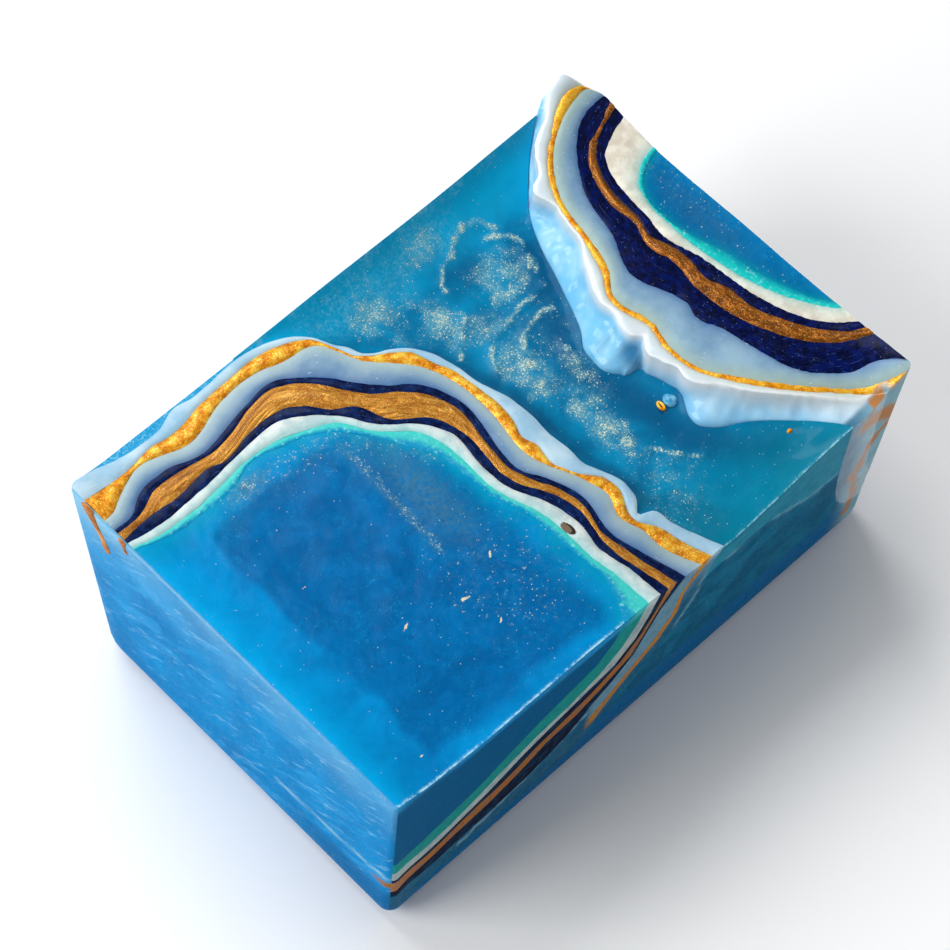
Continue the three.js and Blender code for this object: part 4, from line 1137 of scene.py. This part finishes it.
# On the long near face, as (x, z): brown veins with their half width, and pale streaks with their
# half width and strength.
SIDE_VEINS = (
    (((85.4, -1.8), (83.9, -3.6), (83.2, -6.6)), 0.45),
    (((83.2, -7.4), (85, -7.8), (87, -8.9), (89.4, -11)), 1.7),
    (((88.4, -13), (86.6, -13.9), (85, -15.8), (84.8, -19), (84.6, -21.2)), 0.85),
    (((83.9, -21), (83, -21.2), (84.2, -24.7), (85.1, -28.6), (84.4, -34)), 0.6),
)
SIDE_STREAKS = (
    (((58, -12), (67, -12.4), (74, -15.6), (81, -16.2)), 0.22, 0.5),
    (((13, -31.8), (24, -28.9), (35, -25)), 0.3, 0.75),
    (((54.5, -9), (53.2, -15), (50, -20)), 0.35, 0.5),
)


def side_paint(obj, veil):
    """What shows through on the long cut face: grey cast, brown veins, faint pour streaks."""
    x, y, z = plan_of(obj).T
    face = np.clip((1.6 - y) / 0.5, 0, 1) * np.clip((-1.0 - z) / 0.8, 0, 1)
    face = np.maximum(face, (z < -20) * (x < 8) * (y < 8))
    wave = grain(x, z, 0, 5.0, 70) * 1.6 + grain(x, z, 0, 1.5, 71) * 0.5
    grey = np.clip((x - 80.5 + wave + (z + 12) * 0.04) / 3.5, 0, 1)
    bent = x + grain(x, z, 4, 1.4, 72) * 0.5
    low = z + grain(x, z, 9, 1.4, 73) * 0.5
    vein = np.zeros(len(x))
    for points, width in SIDE_VEINS:
        vein = np.maximum(vein, near_line(bent, low, points, width))
    vein = np.clip((vein - 0.3) / 0.3, 0, 1)
    streak = np.zeros(len(x))
    for points, width, share in SIDE_STREAKS:
        streak = np.maximum(streak, share * near_line(bent, low, points, width))
    store(obj, "veil", np.maximum(veil, grey) * face)
    store(obj, "grey", grey)
    store(obj, "vein", vein * face * (x > 75))
    store(obj, "streak", streak * face)


def core_zones(obj):
    """Darker middle, painted glow at the edges, haze and mica of the front core."""
    x, y, z = plan_of(obj).T
    edge = grain(x, y, 0, 5.0, 12) * 1.4
    left = np.clip((x - 8.0 + edge) / 0.9, 0, 1)
    right = np.clip((38.5 - x + edge) / 2.2, 0, 1)
    low = np.clip((y - 1.5 + edge) / 1.6, 0, 1)
    high = np.clip((43.2 - y + edge) / 1.4, 0, 1)
    store(obj, "zone", 0.95 * left * right * low * high)
    # Painted glow: light shining through the thin soap near the two near cut faces.
    glow = 0.8 * np.exp(-np.maximum(x - 0.6, 0) / 3.0) * np.clip((50 - y) / 8, 0, 1) * (z > -5)
    glow = np.maximum(glow, 0.25 * np.exp(-np.maximum(y, 0) / 1.0) * (z > -4.6))
    store(obj, "glow", np.clip(glow, 0, 1))
    outside = FRONT.across(x, y, "core")[0]
    rim = np.exp(np.minimum(outside, 0) / 1.9) * 0.85 * (z > -5)
    store(obj, "rim", rim * np.clip(0.8 + 0.5 * grain(x, y, 0, 2.5, 33), 0, 1))
    haze = 0.85 * spot(x, y, 32.5, 29, 2.8, 8.5) + 0.6 * near_line(x, y, ((29, 40), (28.6, 23)), 0.6)
    haze = np.maximum(haze, 1.0 * spot(x, y, 17, 44.2, 3.0, 1.2))
    store(obj, "haze", haze)
    mica = 0.4 * spot(x, y, 32, 14, 8.5, 9) + 0.5 * spot(x, y, 26, 42, 9, 3)
    mica = mica * np.clip(0.7 + 1.1 * grain(x, y, 0, 1.8, 30), 0.05, 1.4)
    mica = np.maximum(mica, 2.2 * spot(x, y, 16.8, 44.2, 3.0, 1.3))
    mica = np.maximum(mica, 1.9 * near_line(x, y, ((29.8, 42), (29.1, 32), (28.5, 22)), 0.5))
    mica = np.maximum(mica, 0.8 * near_line(x, y, ((20, 44), (27, 43), (33, 37.5), (36.5, 32)), 0.9))
    store(obj, "mica", mica + 0.02)


def base_zones(base):
    """Rim, painted light on the short near face, the long near face with painted shade, and the wedge
    and line low on the short near face.
    """
    x, y, z = plan_of(base).T
    store(base, "rim", np.clip((y - 56) / 1.0, 0, 1) * np.clip((z + 2.5) / 1.5, 0, 1) * (x > 1))
    # Painted shade: the base is a darker teal on the long near face, which faces away from the key
    # light.
    store(base, "shaded_teal_side", np.clip((x - 1) / 3, 0, 1) * np.clip((4 - y) / 3, 0, 1))
    # Painted light on the short near face, which faces the key light: lighter towards its top and
    # towards its far corner, with a pale band under the top edge there.
    uneven = 1 + 0.7 * grain(y, z, 0, 6.0, 80)
    corner = np.clip((y - 42) / 12, 0, 1) * np.exp(z / 5) * uneven
    upper = 0.24 * np.clip(1 + z / 13, 0, 1) * uneven
    lip = 0.8 * np.clip((y - 47) / 4, 0, 1) * np.exp(-((z / 1.5) ** 2))
    store(base, "painted_light_short_face", np.clip((x < 1.8) * np.maximum(np.maximum(corner, upper), lip), 0, 1))
    side_paint(base, 0.0)
    near = (x < 1.8) * (y < 30)
    line = near_line(y, z, ((22, -27.8), (8, -26.2), (0.5, -24.6)), 0.3) * near
    wedge = near_line(y, z, ((5, -27.9), (0.3, -26.8)), 0.9) * np.clip((5.5 - y) / 4, 0, 1) * near
    streak = np.empty(len(x))
    base.data.attributes["streak"].data.foreach_get("value", streak)
    store(base, "streak", np.maximum(streak, 0.8 * line))
    store(base, "wedge", np.clip(1.8 * wedge - 0.3, 0, 1))
    store(base, "foot_blue", np.clip((-29 - z) / 2.5, 0, 1) * np.clip((26 - y) / 14, 0.2, 1) * 0.9)


def band_coordinates(obj, geode, k):
    """Where each vertex lies along and across its pour."""
    x, y, _ = plan_of(obj).T
    outer, along = geode.across(x, y, LAYERS[k])
    inner = geode.across(x, y, LAYERS[max(k - 1, 0)])[0]
    width = np.maximum(inner - outer, 0.05)
    store(obj, "along", along)
    store(obj, "across", outer)
    store(obj, "share", np.clip(inner / width, 0, 1) if k else np.zeros(len(x)))
    store(obj, "tint", np.clip(1 + outer / 2.1, 0, 1) if LAYERS[k] == "pale" else np.zeros(len(x)))
    near_inner = np.exp(-np.maximum(inner, 0) / 0.9) if LAYERS[k] in ("pale", "white") else 0 * x
    store(obj, "blue", near_inner)


# ------------------------------------------------------------------ build
# Height of the top edge along the long near face, as x and z; the cut face starts below it.
NEAR_EDGE = ((0, 12, 45, 60, 70, 90), (-0.6, -3, -4.8, -7.6, -5.4, -1.4))


def settle(obj, material, nodes):
    """Marks the cut face, sets the material, hangs the piece under the root body and hides the nodes it
    stands for.
    """
    x, y, z = plan_of(obj).T
    level = np.interp(x, *NEAR_EDGE)
    store(obj, "cut", np.clip((1.6 - y) / 0.5, 0, 1) * np.clip((level - 0.3 - z) / 0.8, 0, 1))
    obj.data.materials.clear()
    obj.data.materials.append(material)
    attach(obj, "root")
    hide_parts(*nodes)


def build_geode(geode, prefix, top, block, looks):
    """All nine pours of one geode, from the core outwards."""
    for k, layer in enumerate(LAYERS):
        obj = pour(geode, prefix, k, top, block)
        smooth(obj)
        band_coordinates(obj, geode, k)
        if k == 0 and prefix == "front":
            core_zones(obj)
        elif k == 0:
            plain_core_zones(obj)
        elif layer in ("pale", "gold", "shell"):
            side_paint(obj, side_veil(obj, prefix, layer))
        if layer == "shell":
            lip_zones(obj, prefix)
        settle(obj, looks[layer], [f"{prefix}_{NODES[k]}"])


def side_veil(obj, prefix, layer):
    """How far a pour is hidden on the long cut face."""
    x, _, z = plan_of(obj).T
    if prefix == "rear":
        return np.clip((-2.2 - z) / 1.0, 0, 1) if layer != "shell" else np.full(len(x), 0.9)
    hidden = np.clip((35.8 - x) / 1.0, 0, 1)
    if layer == "shell":
        hidden = np.maximum(hidden, np.clip((-8 - z) / 5, 0, 1))
    return hidden


def lip_zones(obj, prefix):
    """Bands of the outer shell: the flat band, the crest with a painted highlight, and the wet wall of
    the rear one, with painted light on its near part and painted shade in one hollow.
    """
    x, y, z = plan_of(obj).T
    if prefix == "front":
        store(obj, "band", np.ones(len(x)))
        return
    outside = REAR.across(x, y, "shell")[0]
    reach = 0.6 + 2.6 * np.clip((14 - y) / 12, 0, 1)
    drop = np.clip((z - rear_top(x, y) + 2.4) / 1.6, 0, 1)
    store(obj, "band", np.clip(1 - np.maximum(outside, 0) / reach, 0, 1) * drop)
    # Painted highlight along the crest.
    store(obj, "ridge", 0.8 * np.exp(-(((outside + 0.1) / 0.2) ** 2)) * (z > -6))
    store(obj, "low", np.clip((-3.8 - z) / 2.0, 0, 1) * 0.6)
    # Painted light on the near part of the wall.
    store(obj, "painted_light_near_wall", 0.7 * np.clip((27 - y) / 4, 0, 1) * np.clip((z + 5.5) / 3, 0.15, 1))
    # Painted shade in the hollow beside the big drip.
    store(obj, "painted_shade_hollow", 0.9 * spot(x, y, 66.6, 26.6, 1.9, 1.7, 20) * np.clip((-2.0 - z) / 1.0, 0, 1))
    store(obj, "tint", 0.9 * np.exp(-np.maximum(REAR.across(x, y, "gold")[0], 0) / 0.4))


def plain_core_zones(obj):
    """The rear core is plain, with a faint painted glow, haze and rim."""
    x, y, _ = plan_of(obj).T
    store(obj, "zone", np.full(len(x), 0.25))
    # Painted glow near the far short face.
    store(obj, "glow", 0.25 * np.exp(-np.maximum(90 - x, 0) / 1.5))
    store(obj, "haze", 0.3 * spot(x, y, 87, 34, 2, 8))
    outside = REAR.across(x, y, "core")[0]
    store(obj, "rim", np.exp(np.minimum(outside, 0) / 0.7) * 0.7)
    store(obj, "mica", 0.06 + 0.25 * spot(x, y, 88.5, 40, 2, 12))


def front_looks():
    """Materials of the front geode's pours."""
    navy = navy_look("navy_front_look", srgb(0, 14, 54), srgb(8, 36, 88), srgb(84, 116, 168))
    return {
        "core": core_look("core_front_look", srgb(0, 112, 176), srgb(0, 138, 206), srgb(0, 156, 190)),
        "teal": teal_look("teal_front_look", srgb(0, 142, 190), srgb(66, 204, 198)),
        "white": white_look("white_front_look", srgb(192, 206, 208), srgb(230, 233, 230)),
        "inner_navy": navy,
        "bronze": bronze_look("bronze_front_look", srgb(140, 80, 20), srgb(188, 124, 38),
                              srgb(230, 172, 78)),
        "outer_navy": navy,
        "pale": pale_look("pale_front_look", srgb(112, 150, 180), srgb(148, 176, 196),
                          srgb(178, 200, 196)),
        "gold": gold_look("gold_front_look", srgb(192, 102, 2), srgb(228, 144, 14),
                          srgb(254, 206, 74)),
        "shell": pale_look("shell_front_look", srgb(150, 192, 218), srgb(190, 218, 232),
                           srgb(170, 200, 200), 0.15),
    }


def rear_looks():
    """Materials of the rear geode's pours."""
    navy = navy_look("navy_rear_look", srgb(0, 6, 44), srgb(0, 18, 84), srgb(74, 100, 176))
    return {
        "core": core_look("core_rear_look", srgb(0, 82, 136), srgb(0, 102, 158), srgb(0, 140, 160)),
        "teal": teal_look("teal_rear_look", srgb(0, 150, 170), srgb(6, 190, 186)),
        "white": white_look("white_rear_look", srgb(212, 202, 184), srgb(236, 230, 214)),
        "inner_navy": navy,
        "bronze": bronze_look("bronze_rear_look", srgb(84, 42, 0), srgb(132, 74, 6),
                              srgb(206, 128, 46), 0.6),
        "outer_navy": navy,
        "pale": pale_look("pale_rear_look", srgb(116, 154, 184), srgb(150, 184, 204),
                          srgb(166, 188, 172)),
        "gold": gold_look("gold_rear_look", srgb(204, 116, 0), srgb(238, 156, 10),
                          srgb(255, 202, 64)),
        "shell": lip_look("shell_rear_look"),
    }


def build_gel(whole, front_hull, rear_hull):
    """The recessed middle pour; gives back its space, open at the top, for cutting the base."""
    xs = np.arange(GEL_START, LENGTH + 2.01, GEL_GRID)
    ys = np.arange(-2, WIDTH + 2.01, GEL_GRID)
    gx, gy = np.meshgrid(xs, ys, indexing="ij")
    line = np.asarray(POUR_LINE, float)
    floor_z = hermite(line[:, 0], line[:, 1], xs)
    top_z = np.maximum(gel_height(gx, gy).reshape(gx.shape), floor_z[:, None] + 0.05)
    gel = grid_solid("middle_gel_look", xs, ys, top_z, floor_z)
    space = grid_solid("gel_space", xs, ys, np.full(gx.shape, CLEAR_TOP), floor_z)
    boolean(gel, whole, "INTERSECT")
    boolean(gel, front_hull, "DIFFERENCE")
    boolean(gel, rear_hull, "DIFFERENCE")
    smooth(gel)
    gel_zones(gel)
    settle(gel, gel_look(), ["middle_gel_pour"])
    return space


def build_base(base, gel_space, front_hull, rear_hull):
    """The base pour: the bar without the geodes and the gel, cut just under the far rim."""
    xs = np.arange(-2, 40.01, 1.0)
    rim_z = front_top(xs, np.full(len(xs), WIDTH - 0.5)) - 0.1
    ys = np.array([-2.0, WIDTH + 2])
    over_rim = grid_solid("above_rim", xs, ys, np.full((len(xs), 2), 9.0), rim_z)
    for cutter in (front_hull, rear_hull, gel_space, over_rim):
        boolean(base, cutter, "DIFFERENCE")
    bpy.data.objects.remove(over_rim)
    smooth(base)
    base_zones(base)
    settle(base, base_look(), ["base_loaf"])


def build_body():
    """Both geodes, the gel and the base, all cut from the same bar."""
    whole = blank("whole_block")
    wide = blank("wide_behind_skin", SKIN, spread=CUTTER_SPREAD)
    behind = blank("behind_skin")
    boolean(behind, wide, "INTERSECT")
    base = blank("base_loaf_look", top=0.0)
    front_hull = hull_of(FRONT, "front_hull", wide)
    rear_hull = hull_of(REAR, "rear_hull", None)
    overhanging = blank("overhanging_block", bulge=LIP_OVERHANG)
    build_geode(FRONT, "front", front_top, behind, front_looks())
    build_geode(REAR, "rear", rear_top, overhanging, rear_looks())
    gel_space = build_gel(whole, front_hull, rear_hull)
    build_base(base, gel_space, front_hull, rear_hull)
    for helper in (whole, wide, behind, overhanging, front_hull, rear_hull, gel_space):
        bpy.data.objects.remove(helper)


def lathe_drop(name, centre, radii, material, nodes):
    """A rounded, slightly uneven blob."""
    rings, around = 14, 28
    points = []
    for i in range(rings + 1):
        lat = math.pi * i / rings
        for j in range(around):
            lon = 2 * math.pi * j / around
            d = Vector((math.sin(lat) * math.cos(lon), math.sin(lat) * math.sin(lon), math.cos(lat)))
            swell = 1 + 0.12 * noise.noise(d * 1.7 + Vector((centre[0], centre[1], 0)))
            points.append([centre[n] + d[n] * radii[n] * swell for n in range(3)])
    faces = [(a, d, c, b) for a, b, c, d in tube_faces(rings + 1, around)]
    obj = make_object(name, points, faces)
    weld = obj.modifiers.new("weld", "WELD")
    weld.merge_threshold = 1e-6
    graph = bpy.context.evaluated_depsgraph_get()
    obj.data = bpy.data.meshes.new_from_object(obj.evaluated_get(graph))
    obj.modifiers.clear()
    obj.data.shade_smooth()
    settle(obj, material, nodes)
    return obj


def ring_bead(name, centre, major, minor, turn, material, nodes):
    """A tiny open ring of gold."""
    around, section = 28, 10
    points, faces = [], []
    for i in range(around):
        a = 2 * math.pi * i / around
        for j in range(section):
            b = 2 * math.pi * j / section
            u = (major[0] + minor * math.cos(b)) * math.cos(a)
            v = (major[1] + minor * math.cos(b)) * math.sin(a)
            points.append((centre[0] + u * math.cos(turn) - v * math.sin(turn),
                           centre[1] + u * math.sin(turn) + v * math.cos(turn),
                           centre[2] + minor * math.sin(b)))
    for i in range(around):
        for j in range(section):
            a, b = i * section, (i + 1) % around * section
            k = (j + 1) % section
            faces.append((a + j, b + j, b + k, a + k))
    obj = make_object(name, points, faces)
    obj.data.shade_smooth()
    settle(obj, material, nodes)


def side_drip(name, path, width, depth, bulb, material, nodes):
    """A run of colour down the short cut face: flat strand that ends in a bead. Path is (y, z)."""
    path = np.asarray(path, float)
    steps, around = 26, 16
    t = np.linspace(0, 1, steps)
    knots = np.linspace(0, 1, len(path))
    ys, zs = hermite(knots, path[:, 0], t), hermite(knots, path[:, 1], t)
    swell = width * (1 + 0.12 * np.sin(t * 9)) * (1 - 0.62 * np.sqrt(t))
    end = bulb * np.sqrt(np.clip(1 - ((t - 0.86) / 0.14) ** 2, 0, 1))
    half = np.maximum(swell * np.sqrt(np.clip((1 - t) / 0.06, 0, 1)), end)
    half[0] *= 0.8
    points = []
    for y, z, h in zip(ys, zs, half):
        face = -z * DRAFT / (HEIGHT - BOTTOM_RADIUS)
        thick = depth * (0.5 + 0.5 * h / max(width, bulb))
        for j in range(around):
            a = 2 * math.pi * j / around
            points.append((face - thick * math.sin(a) * 0.9, y + max(h, 0.02) * math.cos(a), z))
    obj = make_object(name, points, tube_faces(steps, around) + end_caps(steps, around))
    smooth(obj, 60)
    settle(obj, material, nodes)


def droplet_look():
    """Wet pale blue."""
    look = Look("droplet_look", side_gloss=0.8, shine=0.5, Coat_Weight=0.4, Coat_Roughness=0.05)
    colour = look.mix(look.span(look.noise(0.8, 3.0), 0.35, 0.65), srgb(40, 138, 188),
                      srgb(120, 190, 218))
    return look.finish(colour, look.span(look.noise(0.5, 2.0), 0.3, 0.7, 0.1, 0.25),
                       bumps=((look.noise(0.6, 2.0), 0.03),))


def build_small_pieces():
    """Droplet and beads on the gel, and the two drips on the short near face."""
    gold = bpy.data.materials["gold_rear_look"]
    amber = bronze_look("amber_drip_look", srgb(150, 84, 40), srgb(196, 124, 60), srgb(226, 164, 100))
    lathe_drop("pale_droplet_look", (66.1, 19.1, -5.4), (0.95, 1.0, 0.62), droplet_look(),
               ["pale_droplet"])
    ring_bead("gold_bead_near_droplet_look", (64.6, 19.2, -5.1), (0.28, 0.62), 0.2,
              math.radians(-8), gold, ["gold_bead_near_droplet"])
    lathe_drop("gold_bead_near_edge_look", (73.9, 5.5, -4.85), (0.42, 0.3, 0.28), gold,
               ["gold_bead_near_edge"])
    side_drip("front_gold_drip_look", ((55.1, 0.15), (54.2, -1.9), (52.7, -4.8), (51.9, -7.9)),
              1.25, 0.32, 0.72, amber, ["front_gold_drip"])
    side_drip("front_bronze_drip_look", ((48.7, 0.1), (48.5, -0.7), (48.2, -1.5), (48, -2.2)),
              0.75, 0.24, 0.4, amber, ["front_bronze_drip"])


# ------------------------------------------------------------------ studio
# The camera's place in the layout's millimetres; its angles in degrees.
CAMERA_AT = (-133.33, -127.0, 418.82)
CAMERA_HEADING = 41.754
CAMERA_TILT = 61.231
CAMERA_ROLL = 4.927
CAMERA_LENS = 146.32


def build_camera():
    """Heading is from +X towards +Y, tilt is below level, roll is about the line of sight."""
    heading, tilt, roll = (math.radians(v) for v in (CAMERA_HEADING, CAMERA_TILT, CAMERA_ROLL))
    ahead = Vector((math.cos(tilt) * math.cos(heading), math.cos(tilt) * math.sin(heading),
                    -math.sin(tilt)))
    level = ahead.cross(Vector((0, 0, 1))).normalized()
    above = level.cross(ahead)
    right = level * math.cos(roll) + above * math.sin(roll)
    up = above * math.cos(roll) - level * math.sin(roll)
    turn = Matrix((right, up, -ahead)).transposed()
    data = bpy.data.cameras.new("photo_camera")
    data.sensor_width = 36.0
    data.lens = CAMERA_LENS
    data.clip_start, data.clip_end = 0.01, 10.0
    camera = bpy.data.objects.new("photo_camera", data)
    camera.matrix_world = Matrix.Translation(ORIGIN + Vector(CAMERA_AT) / 1000) @ turn.to_4x4()
    bpy.context.scene.collection.objects.link(camera)
    bpy.context.scene.camera = camera


def area_light(name, toward, distance, size, power):
    """A soft light that faces the bar from the given direction."""
    data = bpy.data.lights.new(name, "AREA")
    data.shape = "SQUARE"
    data.size = size
    data.energy = power
    obj = bpy.data.objects.new(name, data)
    toward = Vector(toward).normalized()
    obj.location = toward * distance + Vector((0, 0, 0.03))
    obj.rotation_euler = (-toward).to_track_quat("-Z", "Y").to_euler()
    bpy.context.scene.collection.objects.link(obj)


def build_studio():
    """Three soft lights, a pale sky and a plain floor."""
    area_light("key_left", (-1.0, 0.45, 0.85), 0.9, 0.5, 5.2)
    area_light("top_soft", (0.1, 0.75, 1.0), 0.9, 0.55, 4.6)
    area_light("fill_right", (0.9, -0.4, 1.3), 1.1, 0.7, 0.5)
    world = bpy.data.worlds.new("studio")
    world.use_nodes = True
    background = world.node_tree.nodes["Background"]
    background.inputs["Color"].default_value = (0.95, 0.97, 1.0, 1)
    background.inputs["Strength"].default_value = 0.34
    bpy.context.scene.world = world
    bpy.context.scene.view_settings.view_transform = "Standard"
    half = 1.5
    mesh = bpy.data.meshes.new("floor")
    corners = [(-half, -half, 0), (half, -half, 0), (half, half, 0), (-half, half, 0)]
    mesh.from_pydata(corners, [], [(0, 1, 2, 3)])
    floor = bpy.data.objects.new("floor", mesh)
    bpy.context.scene.collection.objects.link(floor)
    look = Look("floor_look", Roughness=0.7)
    look.shader.inputs["Base Color"].default_value = (0.96, 0.96, 0.96, 1)
    floor.data.materials.append(look.material)


build_body()
build_small_pieces()
build_camera()
build_studio()
